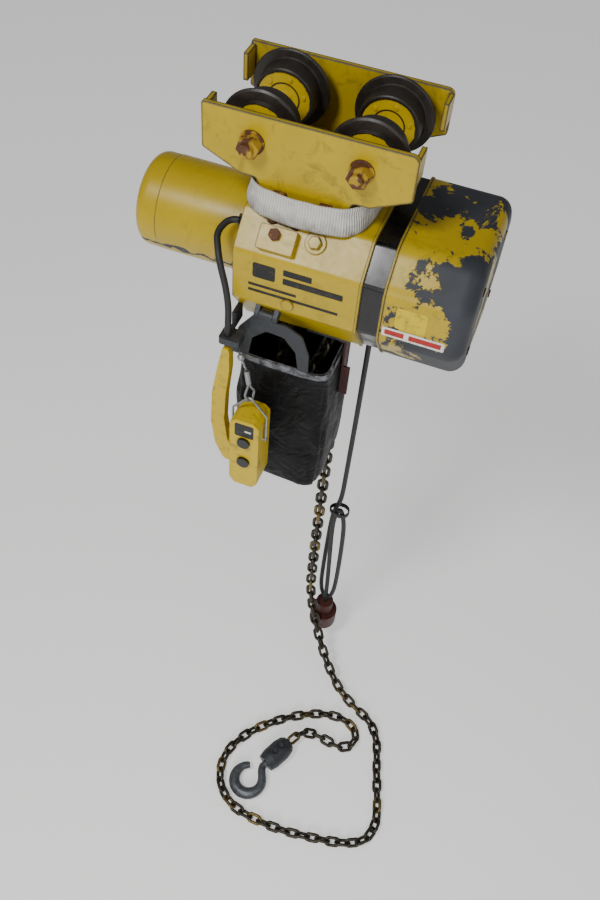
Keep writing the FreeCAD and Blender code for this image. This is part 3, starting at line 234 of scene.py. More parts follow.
lie = -1.1895
hook_start = Vector((0.104, -0.222, lie + 0.016))
hook_axis = Vector((-0.455, -0.885, -0.10)).normalized()
load_route = [
    (0.042, 0.031, -0.238), (0.042, 0.031, -0.950), (0.050, 0.024, -1.030), (0.074, 0.004, -1.100),
    (0.112, -0.034, -1.152), (0.156, -0.072, -1.181), (0.200, -0.096, lie), (0.240, -0.112, lie),
    (0.266, -0.146, lie), (0.280, -0.196, lie), (0.299, -0.252, lie), (0.314, -0.302, lie),
    (0.302, -0.342, lie), (0.260, -0.361, lie), (0.205, -0.371, lie), (0.152, -0.379, lie),
    (0.096, -0.379, lie), (0.044, -0.371, lie), (0.004, -0.338, lie), (-0.008, -0.286, lie),
    (0.013, -0.235, lie), (0.052, -0.191, lie), (0.098, -0.156, lie), (0.146, -0.132, lie),
    (0.190, -0.127, lie), (0.222, -0.144, lie), (0.223, -0.174, lie), (0.197, -0.189, lie),
    (0.160, -0.181, lie), (0.131, -0.185, lie + 0.009),
    tuple(hook_start - hook_axis * 0.024), tuple(hook_start - hook_axis * 0.0006),
]
load_line = line_of("load line", load_route)
load_links, load_length = links_along("load_chain_links", load_line, 0.6, 3, "hoist")
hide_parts("load_chain")

# ---- slack chain --------------------------------------------------------------------------
# The same chain behind the load: up over the sheave, down through the guide into the bag's
# mouth, and the short tail strand that comes up again to its anchor on the casing.
over = [
    (0.042, 0.031 * math.cos(a), -0.188 + 0.031 * math.sin(a))
    for a in [math.pi * i / 8 for i in range(9)]
]
slack_route = [(0.042, 0.031, -0.238), *over, (0.042, -0.031, -0.238), (0.040, -0.035, -0.262),
               (0.031, -0.045, -0.290), (0.019, -0.056, -0.316), (0.013, -0.061, -0.340)]
slack_line = line_of("slack line", slack_route)
slack_links, slack_length = links_along("slack_chain_links", slack_line, 0.5, 4, "hoist")
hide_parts("slack_chain")
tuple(slack_route[0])
tail_route = [(-0.018, -0.040, -0.233), (-0.018, -0.042, -0.262), (-0.021, -0.052, -0.300),
              (-0.020, -0.060, -0.332), (-0.028, -0.070, -0.343), (-0.040, -0.074, -0.344)]
tail_line = line_of("tail line", tail_route)
tail_links, tail_length = links_along("tail_chain_links", tail_line, 1.1, 5, "hoist")

# ---- supply cord --------------------------------------------------------------------------
# Round rubber cord that drops from the gland under the casing, loops twice in a long hank held
# by a tie at its top, and ends in the plug that hangs below.
def rubber_surface(tree):
    where = add(tree, "TexCoord", out="Object")
    dust = add(tree, "TexNoise", {"Vector": where, "Scale": 60.0, "Detail": 6.0})
    grain = add(tree, "TexNoise", {"Vector": where, "Scale": 1200.0, "Detail": 2.0})
    shade = add(tree, "Mix", {"Factor": dust, 6: colour("101112"), 7: colour("2a2a2b")},
                data_type="RGBA")
    bump = add(tree, "Bump", {"Height": grain, "Strength": 0.3, "Distance": 0.0002})
    rough = add(tree, "MapRange", {"Value": dust, "To Min": 0.4, "To Max": 0.7})
    return {"Base Color": shade, "Roughness": rough, "Normal": bump}


black_rubber = material("black rubber", rubber_surface)
supply_route = [
    (0.0796, 0.044, -0.254), (0.0796, 0.044, -0.420), (0.0776, 0.044, -0.640),
    (0.0766, 0.044, -0.710), (0.068, 0.048, -0.745), (0.062, 0.052, -0.790), (0.060, 0.052, -0.960),
    (0.062, 0.050, -1.030), (0.076, 0.046, -1.056), (0.090, 0.042, -1.030), (0.0935, 0.040, -0.960),
    (0.092, 0.038, -0.800), (0.087, 0.037, -0.752), (0.0785, 0.035, -0.726), (0.071, 0.036, -0.752),
    (0.069, 0.038, -0.800), (0.074, 0.040, -0.930), (0.0766, 0.042, -1.010), (0.0766, 0.044, -1.064),
]
supply_curve = bpy.data.curves.new("supply_cord_line", "CURVE")
supply_curve.dimensions = "3D"
supply_curve.resolution_u = 16
supply_curve.bevel_depth = 0.00425
supply_curve.bevel_resolution = 6
supply_curve.use_fill_caps = True
spline = supply_curve.splines.new("NURBS")
spline.points.add(len(supply_route) - 1)
for place, point in zip(spline.points, supply_route):
    place.co = (*point, 1.0)
spline.order_u = 3
spline.use_endpoint_u = True
supply_curve.materials.append(black_rubber)
supply_cord = bpy.data.objects.new("supply_flex", supply_curve)
bpy.context.collection.objects.link(supply_cord)
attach(supply_cord, "hoist")
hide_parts("supply_cord", "cord_hank")
supply_line = line_of("supply line", supply_route)
supply_length = sum((b - a).length for a, b in zip(supply_line, supply_line[1:]))
tie_points, tie_faces = [], []
for i in range(28):
    a = 2 * math.pi * i / 28
    for r, z in ((0.0, -0.006), (0.0018, -0.004), (0.0018, 0.004), (0.0, 0.006)):
        tie_points.append((0.0765 + (0.0165 + r) * math.cos(a), 0.0425 + (0.0125 + r) * math.sin(a),
                           -0.742 + z + 0.0015 * math.sin(2 * a)))
for i in range(28):
    for k in range(4):
        j, m = (i + 1) % 28, (k + 1) % 4
        tie_faces.append((i * 4 + k, j * 4 + k, j * 4 + m, i * 4 + m))
cord_tie = mesh_object("cord_tie", tie_points, tie_faces, black_rubber, "hoist")

# ---- chain bag ----------------------------------------------------------------------------
# Bag of rubber-coated fabric: a lofted shell that slumps and bulges under the heap of chain,
# with creased sides, a doubled worn mouth and a ragged lower hem.
def bag_surface(tree):
    where = add(tree, "TexCoord", out="Object")
    height = add(tree, "SeparateXYZ", {0: where}, out="Z")
    scuff = add(tree, "TexNoise", {"Vector": where, "Scale": 26.0, "Detail": 8.0, "Roughness": 0.65})
    speck = add(tree, "TexNoise", {"Vector": where, "Scale": 240.0, "Detail": 4.0})
    weave = add(tree, "TexVoronoi", {"Vector": where, "Scale": 700.0}, out="Distance")
    near_mouth = add(tree, "MapRange", {"Value": height, "From Min": -0.330, "From Max": -0.262})
    worn = add(tree, "Math", {0: add(tree, "Math", {0: near_mouth, 1: 0.32}, operation="MULTIPLY"),
                              1: scuff}, operation="ADD")
    worn = add(tree, "MapRange", {"Value": worn, "From Min": 0.66, "From Max": 0.86})
    base = add(tree, "Mix", {"Factor": speck, 6: colour("030304"), 7: colour("0c0d0f")},
               data_type="RGBA")
    shade = add(tree, "Mix", {"Factor": worn, 6: base, 7: colour("222428")}, data_type="RGBA")
    folds = add(tree, "TexNoise", {"Vector": where, "Scale": 38.0, "Detail": 3.0, "Distortion": 1.2})
    bump = add(tree, "Bump", {"Height": folds, "Strength": 0.7, "Distance": 0.006})
    bump = add(tree, "Bump", {"Height": weave, "Strength": 0.25, "Distance": 0.0004, "Normal": bump})
    rough = add(tree, "MapRange", {"Value": scuff, "From Min": 0.35, "From Max": 0.7,
                                   "To Min": 0.38, "To Max": 0.7})
    return {"Base Color": shade, "Roughness": rough, "Specular IOR Level": 0.15, "Normal": bump}


coated_fabric = material("coated black fabric", bag_surface)


bag_middle_y = -0.0585


def bag_ring(height, out, steps):
    """Points round the bag at one height, moved out by a number of millimetres that may vary."""
    ring = []
    half_x, half_y = 0.061, 0.0495
    for i in range(steps):
        a = 2 * math.pi * i / steps
        c, s = math.cos(a), math.sin(a)
        power = 0.28
        x = math.copysign(abs(c) ** power, c) * half_x
        y = math.copysign(abs(s) ** power, s) * half_y
        reach = max(abs(c), abs(s)) ** 0.5
        x, y = x * (0.985 + 0.015 * reach), y * (0.985 + 0.015 * reach)
        wave = noise.noise(Vector((3.1 * c, 3.1 * s, height * 16)))
        push = out * (0.55 + 0.45 * math.sin(2 * a + 0.6)) + 0.0042 * wave * min(1, (-0.262 - height) * 12)
        ring.append(Vector((x + c * push, bag_middle_y + y + s * push, height)))
    return ring


steps, levels = 112, 46
top, bottom = -0.257, -0.4965
points, faces = [], []
for k in range(levels + 1):
    share = k / levels
    height = top + (bottom - top) * share
    bulge = 0.0095 * math.sin(math.pi * min(1.0, share * 1.02)) ** 1.3 * (0.35 + 0.65 * share)
    tuck = 0.006 * max(0.0, share - 0.93) / 0.07
    points += [p for p in bag_ring(height, bulge - tuck, steps)]
for k in range(levels):
    for i in range(steps):
        j = (i + 1) % steps
        faces.append((k * steps + i, k * steps + j, (k + 1) * steps + j, (k + 1) * steps + i))
for ring_number in range(1, 9):
    share = ring_number / 9
    base = levels * steps
    for i in range(steps):
        edge = points[base + i]
        sag = 0.0028 * math.sin(math.pi * share) + 0.0012 * noise.noise(edge * 60)
        points.append(Vector((edge.x * (1 - share), bag_middle_y + (edge.y - bag_middle_y) * (1 - share),
                              bottom - sag)))
    first = (levels + ring_number - 1) * steps
    for i in range(steps):
        j = (i + 1) % steps
        faces.append((first + i, first + j, first + steps + j, first + steps + i))
points.append(Vector((0, bag_middle_y, bottom - 0.0012)))
last = (levels + 8) * steps
for i in range(steps):
    faces.append((last + i, last + (i + 1) % steps, len(points) - 1))
bag = mesh_object("bag_shell", points, faces, coated_fabric, "bag")
thick = bag.modifiers.new("thickness", "SOLIDIFY")
thick.thickness = 0.0022
thick.offset = -1
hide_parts("chain_bag")

# ---- bag mouth ----------------------------------------------------------------------------
# Doubled hem round the bag's mouth: rolled over, frayed, grey with wear on its upper edge.
rim_points, rim_faces = [], []
profile = [(0.0, -0.0140), (0.0016, -0.0130), (0.0030, -0.0100), (0.0034, -0.0050), (0.0028, -0.0012),
           (0.0012, 0.0), (-0.0010, -0.0004), (-0.0026, -0.0030), (-0.0030, -0.0085)]
for i, edge in enumerate(bag_ring(-0.262, 0.0, steps)):
    out = Vector((edge.x, edge.y - bag_middle_y, 0)).normalized()
    fray = 0.0012 * noise.noise(edge * 90)
    for reach, lift in profile:
        place = edge + out * (reach + 0.0002 + fray * 0.5)
        rim_points.append(Vector((place.x, place.y, -0.2567 + lift + (fray if lift > -0.004 else 0) * 0.6)))
for i in range(steps):
    j = (i + 1) % steps
    for k in range(len(profile)):
        m = (k + 1) % len(profile)
        rim_faces.append((i * len(profile) + k, j * len(profile) + k,
                          j * len(profile) + m, i * len(profile) + m))


def hem_surface(tree):
    where = add(tree, "TexCoord", out="Object")
    wear = add(tree, "TexNoise", {"Vector": where, "Scale": 70.0, "Detail": 8.0, "Roughness": 0.7})
    shade = add(tree, "Mix", {"Factor": add(tree, "MapRange", {
        "Value": wear, "From Min": 0.38, "From Max": 0.62}), 6: colour("17181b"),
        7: colour("7d7f84")}, data_type="RGBA")
    bump = add(tree, "Bump", {"Height": wear, "Strength": 0.8, "Distance": 0.0015})
    return {"Base Color": shade, "Roughness": 0.75, "Normal": bump}


worn_hem = material("worn fabric hem", hem_surface)
bag_hem = mesh_object("bag_hem", rim_points, rim_faces, worn_hem, "bag")
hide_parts("bag_rim")

# ---- stowed chain -------------------------------------------------------------------------
# The heap of slack links in the bag: loose links lying every way, cut off flat at the heap's top.
luck = random.Random(11)
heap_points, heap_faces = [], []
around, across = 20, 7
heap_middle, heap_top = -0.356, -0.3405
straight, bend = pitch_length / 2 + wire / 2 - (link_width - wire) / 2, (link_width - wire) / 2
for i in range(120):
    middle = Vector((luck.uniform(-0.040, 0.040), luck.uniform(-0.090, -0.027), heap_middle))
    middle.z += 0.010 * luck.random() + 0.004
    flat_turn = luck.uniform(0, math.pi)
    along = Vector((math.cos(flat_turn), math.sin(flat_turn), luck.uniform(-0.35, 0.35))).normalized()
    side = along.orthogonal().normalized()
    side = Matrix.Rotation(luck.uniform(0, math.pi), 3, along) @ side
    normal = along.cross(side)
    start = len(heap_points)
    for a in range(around):
        angle = 2 * math.pi * a / around
        out = along * math.cos(angle) + side * math.sin(angle)
        shift = straight if math.cos(angle) >= 0 else -straight
        centre = middle + along * (shift + bend * math.cos(angle)) + side * bend * math.sin(angle)
        for b in range(across):
            ring = 2 * math.pi * b / across
            point = centre + (out * math.cos(ring) + normal * math.sin(ring)) * wire / 2
            point.z = min(point.z, heap_top)
            heap_points.append(point)
    for a in range(around):
        for b in range(across):
            c, d = (a + 1) % around, (b + 1) % across
            heap_faces.append((start + a * across + b, start + c * across + b,
                               start + c * across + d, start + a * across + d))
mesh_object("stowed_links", heap_points, heap_faces, chain_steel, "bag")

# ---- sling --------------------------------------------------------------------------------
# Ribbed white webbing laid round the lugs: a band that slumps outwards at its lower edge and leans in near
# its top, grimy in patches and darker towards its lower edge, with painted shade in the grooves between its
# ribs.
sling_outline = [
    (-80, -52), (-62, -85), (-28, -92), (0, -93.5), (28, -92), (62, -85), (80, -52),
    (80, 56), (62, 90), (28, 97), (0, 98.5), (-28, 97), (-62, 90), (-80, 56),
]
corners = [Vector((x / 1000, y / 1000, 0)) for x, y in sling_outline]
sling_curve = []
for i, corner in enumerate(corners):
    before, after = corners[i - 1], corners[(i + 1) % len(corners)]
    for t in [k / 12 for k in range(12)]:
        a, b = (before + corner) / 2, (corner + after) / 2
        sling_curve.append(a.lerp(corner, t).lerp(corner.lerp(b, t), t))
band_low, band_high, band_rows = -0.0470, -0.0125, 14
sling_points, sling_faces, ring_lengths = [], [], [0.0]
count = len(sling_curve)
for i in range(count):
    here, ahead_point, back_point = sling_curve[i], sling_curve[(i + 1) % count], sling_curve[i - 1]
    ring_lengths.append(ring_lengths[-1] + (ahead_point - here).length)
    out = (ahead_point - back_point).cross(Vector((0, 0, 1))).normalized()
    for k in range(band_rows + 1):
        share = k / band_rows
        ripple = 0.0011 * noise.noise(Vector((here.x * 45, here.y * 45, share * 3)))
        lean = -0.0018 - 0.0030 * share + 0.0012 * math.sin(math.pi * share * 2)
        place = here + out * (lean + ripple)
        height = band_low + (band_high - band_low) * share
        height += 0.0012 * noise.noise(Vector((here.x * 30, here.y * 30, 7))) * math.sin(math.pi * share)
        sling_points.append(Vector((place.x, place.y, height)))
for i in range(count):
    j = (i + 1) % count
    for k in range(band_rows):
        a, b = i * (band_rows + 1) + k, j * (band_rows + 1) + k
        sling_faces.append((a, b, b + 1, a + 1))


def webbing_surface(tree):
    along = add(tree, "UVMap", uv_map="weave")
    u = add(tree, "SeparateXYZ", {0: along}, out="X")
    v = add(tree, "SeparateXYZ", {0: along}, out="Y")
    where = add(tree, "TexCoord", out="Object")
    ribs = add(tree, "Math", {0: add(tree, "Math", {0: u, 1: 2 * math.pi / 0.0034},
                                     operation="MULTIPLY")}, operation="SINE")
    grime = add(tree, "TexNoise", {"Vector": where, "Scale": 55.0, "Detail": 7.0, "Roughness": 0.65})
    # Darker towards the band's lower edge.
    low_edge = add(tree, "MapRange", {"Value": v, "From Min": 0.55, "From Max": 0.0, "To Max": 0.35})
    dirty = add(tree, "Math", {0: grime, 1: low_edge}, operation="ADD")
    dirty = add(tree, "MapRange", {"Value": dirty, "From Min": 0.5, "From Max": 0.95, "To Max": 0.9})
    shade = add(tree, "Mix", {"Factor": dirty, 6: colour("d9d8d2"), 7: colour("7b7466")},
                data_type="RGBA")
    # Painted shade: the grooves between the ribs are darkened in colour as well as bumped.
    painted_rib_shade = add(tree, "MapRange", {"Value": ribs, "From Min": -1.0, "From Max": 0.2, "To Min": 0.35,
                                    "To Max": 0.0})
    shade = add(tree, "Mix", {"Factor": painted_rib_shade, 6: shade, 7: colour("8e8a80")}, data_type="RGBA")
    bump = add(tree, "Bump", {"Height": ribs, "Strength": 0.6, "Distance": 0.0009})
    return {"Base Color": shade, "Roughness": 0.9, "Normal": bump}


webbing = material("white ribbed webbing", webbing_surface)
sling = mesh_object("sling_band", sling_points, sling_faces, webbing, "hoist")
weave = sling.data.uv_layers.new(name="weave")
for polygon in sling.data.polygons:
    first = polygon.vertices[0] // (band_rows + 1)
    for corner_number in polygon.loop_indices:
        vertex = sling.data.loops[corner_number].vertex_index
        i, k = divmod(vertex, band_rows + 1)
        length = ring_lengths[-1] if (first == count - 1 and i == 0) else ring_lengths[i]
        weave.data[corner_number].uv = (length, k / band_rows)
thick = sling.modifiers.new("thickness", "SOLIDIFY")
thick.thickness = 0.0026
thick.offset = 0
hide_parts("sling")

# ---- casing and motor ---------------------------------------------------------------------
# Thick yellow paint over castings: dark soiled patches, faint mottling, chips down to dark metal along the
# edges, and one long scrape low on the motor barrel's front.
def yellow_paint(tree, chip_width=0.0022, chips=0.55, grime=0.5, patches=None, scrape=False):
    where = add(tree, "TexCoord", out="Object")
    mottle = add(tree, "TexNoise", {"Vector": where, "Scale": 17.0, "Detail": 7.0, "Roughness": 0.6})
    speck = add(tree, "TexNoise", {"Vector": where, "Scale": 210.0, "Detail": 5.0, "Roughness": 0.7})
    soil = add(tree, "TexNoise", {"Vector": where, "Scale": 34.0, "Detail": 9.0, "Roughness": 0.72,
                                  "Distortion": 0.6})
    shade = add(tree, "Mix", {"Factor": mottle, 6: colour("a88c00"), 7: colour("c8ac00")},
                data_type="RGBA")
    dirt = add(tree, "MapRange", {"Value": soil, "From Min": 0.52, "From Max": 0.80, "To Max": grime})
    shade = add(tree, "Mix", {"Factor": dirt, 6: shade, 7: colour("4a3a08")}, data_type="RGBA")
    flat = add(tree, "NewGeometry", out="Normal")
    soft = add(tree, "Bevel", {"Radius": chip_width}, samples=6)
    bend = add(tree, "VectorMath", {0: flat, 1: soft}, out="Value", operation="DOT_PRODUCT")
    edge = add(tree, "MapRange", {"Value": bend, "From Min": 0.995, "From Max": 0.90})
    broken = add(tree, "Math", {0: edge, 1: add(tree, "Math", {0: speck, 1: 0.9},
                                                operation="MULTIPLY")}, operation="ADD")
    lost = add(tree, "MapRange", {"Value": broken, "From Min": 1.62 - chips, "From Max": 1.72 - chips})
    stray = add(tree, "Math", {0: speck, 1: mottle}, operation="ADD")
    stray = add(tree, "MapRange", {"Value": stray, "From Min": 1.30, "From Max": 1.34})
    lost = add(tree, "Math", {0: lost, 1: stray}, operation="MAXIMUM")
    if patches:
        lost = add(tree, "Math", {0: lost, 1: patches(tree, where)}, operation="MAXIMUM")
    if scrape:
        height = add(tree, "SeparateXYZ", {0: where}, out="Z")
        wobble = add(tree, "TexNoise", {"Vector": where, "Scale": 55.0, "Detail": 7.0})
        line = add(tree, "Math", {0: add(tree, "Math", {0: wobble, 1: -0.030}, operation="MULTIPLY"),
                                  1: height}, operation="ADD")
        off = add(tree, "Math", {0: add(tree, "Math", {0: line, 1: 0.1775}, operation="ADD")},
                  operation="ABSOLUTE")
        line = add(tree, "MapRange", {"Value": off, "From Min": 0.0036, "From Max": 0.0026})
        lost = add(tree, "Math", {0: lost, 1: line}, operation="MAXIMUM")
    metal = add(tree, "Mix", {"Factor": mottle, 6: colour("17181c"), 7: colour("3f434b")},
                data_type="RGBA")
    shade = add(tree, "Mix", {"Factor": lost, 6: shade, 7: metal}, data_type="RGBA")
    rough = add(tree, "Mix", {"Factor": lost, 2: add(tree, "MapRange", {
        "Value": soil, "To Min": 0.22, "To Max": 0.5}), 3: 0.6}, data_type="FLOAT")
    level = add(tree, "Math", {0: add(tree, "Math", {0: lost, 1: -0.5}, operation="MULTIPLY"),
                               1: add(tree, "Math", {0: speck, 1: 0.12}, operation="MULTIPLY")},
                operation="ADD")
    bump = add(tree, "Bump", {"Height": level, "Strength": 0.6, "Distance": 0.0006, "Normal": soft})
    return {"Base Color": shade, "Roughness": rough, "Normal": bump}


casing_paint = material("chipped yellow paint", yellow_paint)
dress(["suspension_bracket", "gear_frame", "anchor_block", "oil_plugs"], casing_paint)
dress(["motor_barrel", "motor_end_cap"],
      material("scraped yellow paint", lambda tree: yellow_paint(tree, grime=0.4, scrape=True)))

# ---- trolley plates -----------------------------------------------------------------------
# The same paint, broken right along every edge, with heavier dark grime in patches.
dress(["trolley_plate_front", "trolley_plate_back"],
      material("edge-worn yellow paint", lambda tree: yellow_paint(
          tree, chip_width=0.0045, chips=0.92, grime=0.85)))


# ---- end cover ----------------------------------------------------------------------------
# Paint worn away in large ragged islands that leave dark blue-grey metal, more of it towards the outer end
# and the bottom.
def ragged_patches(tree, where):
    broad = add(tree, "TexNoise", {"Vector": where, "Scale": 11.5, "Detail": 9.0, "Roughness": 0.66,
                                   "Distortion": 0.35})
    reach = add(tree, "SeparateXYZ", {0: where}, out="X")
    height = add(tree, "SeparateXYZ", {0: where}, out="Z")
    outer = add(tree, "MapRange", {"Value": reach, "From Min": 0.120, "From Max": 0.215,
                                   "To Min": -0.035, "To Max": 0.055})
    low = add(tree, "MapRange", {"Value": height, "From Min": -0.20, "From Max": -0.06,
                                 "To Min": 0.02, "To Max": -0.01})
    total = add(tree, "Math", {0: broad, 1: outer}, operation="ADD")
    total = add(tree, "Math", {0: total, 1: low}, operation="ADD")
    return add(tree, "MapRange", {"Value": total, "From Min": 0.503, "From Max": 0.515})


dress(["end_cover"], material("worn-through yellow paint", lambda tree: yellow_paint(
    tree, chip_width=0.003, chips=0.7, grime=0.6, patches=ragged_patches)))


# ---- spacer band and other glossy black ---------------------------------------------------
# Black moulded band between frame and cover; the same plastic makes the buttons and glands.
def gloss_black(tree):
    where = add(tree, "TexCoord", out="Object")
    smear = add(tree, "TexNoise", {"Vector": where, "Scale": 30.0, "Detail": 7.0})
    dust = add(tree, "TexNoise", {"Vector": where, "Scale": 420.0, "Detail": 2.0})
    shade = add(tree, "Mix", {"Factor": add(tree, "MapRange", {
        "Value": dust, "From Min": 0.6, "From Max": 0.75, "To Max": 0.5}), 6: colour("08080a"),
        7: colour("35342f")}, data_type="RGBA")
    rough = add(tree, "MapRange", {"Value": smear, "From Min": 0.3, "From Max": 0.7,
                                   "To Min": 0.12, "To Max": 0.38})
    soft = add(tree, "Bevel", {"Radius": 0.0012}, samples=4)
    return {"Base Color": shade, "Roughness": rough, "Normal": soft}


black_plastic = material("glossy black plastic", gloss_black)
dress(["spacer_band", "button_raise", "button_lower", "cable_glands"], black_plastic)
dress(["control_cable"], black_rubber)


# ---- wheels -------------------------------------------------------------------------------
# Cast wheels: black grease on treads and flanges, and yellow hub discs with a ring groove.
def wheel_surface(tree):
    where = add(tree, "TexCoord", out="Object")
    x = add(tree, "Math", {0: add(tree, "Math", {0: add(tree, "SeparateXYZ", {0: where}, out="X")},
                                  operation="ABSOLUTE"), 1: 0.064}, operation="SUBTRACT")
    z = add(tree, "Math", {0: add(tree, "SeparateXYZ", {0: where}, out="Z"), 1: 0.0375},
            operation="SUBTRACT")
    radius = add(tree, "VectorMath", {0: add(tree, "CombineXYZ", {"X": x, "Z": z})}, out="Value",
                 operation="LENGTH")
    grease = add(tree, "TexNoise", {"Vector": where, "Scale": 90.0, "Detail": 8.0, "Roughness": 0.7})
    soil = add(tree, "TexNoise", {"Vector": where, "Scale": 30.0, "Detail": 6.0})
    ragged = add(tree, "Math", {0: add(tree, "Math", {0: grease, 1: 0.006}, operation="MULTIPLY"),
                                1: radius}, operation="ADD")
    hub = add(tree, "MapRange", {"Value": ragged, "From Min": 0.0352, "From Max": 0.0346})
    groove = add(tree, "Math", {0: add(tree, "Math", {0: radius, 1: 0.0190}, operation="SUBTRACT")},
                 operation="ABSOLUTE")
    groove = add(tree, "MapRange", {"Value": groove, "From Min": 0.0014, "From Max": 0.0006})
    paint = add(tree, "Mix", {"Factor": soil, 6: colour("b89800"), 7: colour("e2c400")},
                data_type="RGBA")
    paint = add(tree, "Mix", {"Factor": add(tree, "MapRange", {
        "Value": grease, "From Min": 0.56, "From Max": 0.8, "To Max": 0.6}), 6: paint,
        7: colour("3c3110")}, data_type="RGBA")
    # Painted shade: the ring groove is coloured dark where shade would fall in it.
    paint = add(tree, "Mix", {"Factor": groove, 6: paint, 7: colour("221c0c")}, data_type="RGBA")
    black = add(tree, "Mix", {"Factor": grease, 6: colour("0c0a09"), 7: colour("38312b")},
                data_type="RGBA")
    shade = add(tree, "Mix", {"Factor": hub, 6: black, 7: paint}, data_type="RGBA")
    rough = add(tree, "MapRange", {"Value": grease, "To Min": 0.2, "To Max": 0.65})
    soft = add(tree, "Bevel", {"Radius": 0.0012}, samples=4)
    bump = add(tree, "Bump", {"Height": add(tree, "Math", {0: grease, 1: groove},
                                            operation="SUBTRACT"),
                              "Strength": 0.5, "Distance": 0.0009, "Normal": soft})
    return {"Base Color": shade, "Roughness": rough, "Normal": bump}


dress(["wheel_front_left", "wheel_front_right", "wheel_back_left", "wheel_back_right"],
      material("greasy cast iron", wheel_surface))


# ---- fasteners ----------------------------------------------------------------------------
# Nuts, studs and bolts: yellow overspray wearing off brown rust.
def rusty_surface(tree):
    where = add(tree, "TexCoord", out="Object")
    rust = add(tree, "TexNoise", {"Vector": where, "Scale": 180.0, "Detail": 8.0, "Roughness": 0.7})
    cover = add(tree, "TexNoise", {"Vector": where, "Scale": 60.0, "Detail": 5.0})
    iron = add(tree, "Mix", {"Factor": rust, 6: colour("2a1a12"), 7: colour("7a4a2c")},
               data_type="RGBA")
    shade = add(tree, "Mix", {"Factor": add(tree, "MapRange", {
        "Value": cover, "From Min": 0.50, "From Max": 0.56, "To Max": 0.85}), 6: iron,
        7: colour("b8961c")}, data_type="RGBA")
    soft = add(tree, "Bevel", {"Radius": 0.0010}, samples=4)
    bump = add(tree, "Bump", {"Height": rust, "Strength": 0.6, "Distance": 0.0006, "Normal": soft})
    return {"Base Color": shade, "Roughness": 0.7, "Metallic": 0.15, "Normal": bump}


rusty_steel = material("rusty painted steel", rusty_surface)
dress(["axle_nuts", "axle_studs", "load_bolts", "case_screws", "body_bolts"], rusty_steel)


# ---- bare steels and castings -------------------------------------------------------------
# Bearings, brake, gears, walls and the switchgear inside, the forged hook and its block outside.
def steel_surface(tree, dark, light, metallic=0.9, grain=150.0, rough_low=0.3, rough_high=0.6):
    where = add(tree, "TexCoord", out="Object")
    tone = add(tree, "TexNoise", {"Vector": where, "Scale": grain, "Detail": 7.0, "Roughness": 0.6})
    shade = add(tree, "Mix", {"Factor": tone, 6: colour(dark), 7: colour(light)}, data_type="RGBA")
    rough = add(tree, "MapRange", {"Value": tone, "From Min": 0.3, "From Max": 0.7,
                                   "To Min": rough_low, "To Max": rough_high})
    soft = add(tree, "Bevel", {"Radius": 0.0008}, samples=4)
    bump = add(tree, "Bump", {"Height": tone, "Strength": 0.3, "Distance": 0.0006, "Normal": soft})
    return {"Base Color": shade, "Roughness": rough, "Metallic": metallic, "Normal": bump}


dress(["wheel_bearings", "brake_springs", "shaft_bearings", "pendant_bail", "rope_fittings"],
      material("bright steel", lambda tree: steel_surface(tree, "6e6f72", "c3c4c6")))
dress(["stator", "rotor", "brake_coil", "brake_plate", "brake_disc"],
      material("machined core steel", lambda tree: steel_surface(tree, "4c4d50", "85868a")))
dress(["idler_gears", "load_sheave", "sheave_gear", "limit_lever", "hook_nut"],
      material("oiled gear steel", lambda tree: steel_surface(tree, "3b3834", "77736c")))
dress(["bearing_walls", "chain_guide"], material("grey casting", lambda tree: steel_surface(
    tree, "3f4042", "5c5d60", metallic=0.4, rough_low=0.55, rough_high=0.8)))
dress(["contactors", "contact_block"], material("grey plastic", lambda tree: steel_surface(
    tree, "7c7d80", "8f9093", metallic=0.0, rough_low=0.4, rough_high=0.6)))
dress(["hook_block", "bag_hinge", "bag_hanger", "cable_clamp"],
      material("worn dark steel", lambda tree: steel_surface(
          tree, "1d1f22", "54575c", metallic=0.5, grain=95.0, rough_low=0.35, rough_high=0.7)))
dress(["hook"], material("forged bare steel", lambda tree: steel_surface(
    tree, "3c3f43", "85898e", metallic=0.7, grain=120.0, rough_low=0.3, rough_high=0.55)))
dress(["bag_keeper"], material("red-brown strap", lambda tree: steel_surface(
    tree, "1e0a09", "4a1a16", metallic=0.0, grain=70.0, rough_low=0.5, rough_high=0.8)))
dress(["supply_plug"], material("red-brown plug plastic", lambda tree: steel_surface(
    tree, "2a100d", "5c2a20", metallic=0.0, grain=60.0, rough_low=0.4, rough_high=0.7)))
dress(["load_chain", "slack_chain", "stowed_chain"], chain_steel)
dress(["chain_bag", "bag_rim"], coated_fabric)
dress(["supply_cord", "cord_hank"], black_rubber)
dress(["sling"], webbing)


# ---- strain rope --------------------------------------------------------------------------
# Laid wire rope: fine slanting ridges across its length in a dull galvanised grey, with painted shade
# between the strands and painted highlight on their crowns.
def rope_surface(tree):
    where = add(tree, "TexCoord", out="Object")
    lay = add(tree, "TexWave", {"Vector": where, "Scale": 260.0, "Distortion": 0.4},
              wave_type="BANDS", bands_direction="DIAGONAL")
    # Painted shade and highlight: the lay bands run from dark grey in the grooves to light grey on the
    # crowns.
    shade = add(tree, "Mix", {"Factor": lay, 6: colour("4d4e50"), 7: colour("b5b6b8")},
                data_type="RGBA")
    bump = add(tree, "Bump", {"Height": lay, "Strength": 0.8, "Distance": 0.0004})
    return {"Base Color": shade, "Roughness": 0.4, "Metallic": 0.8, "Normal": bump}


dress(["strain_rope"], material("galvanised wire rope", rope_surface))


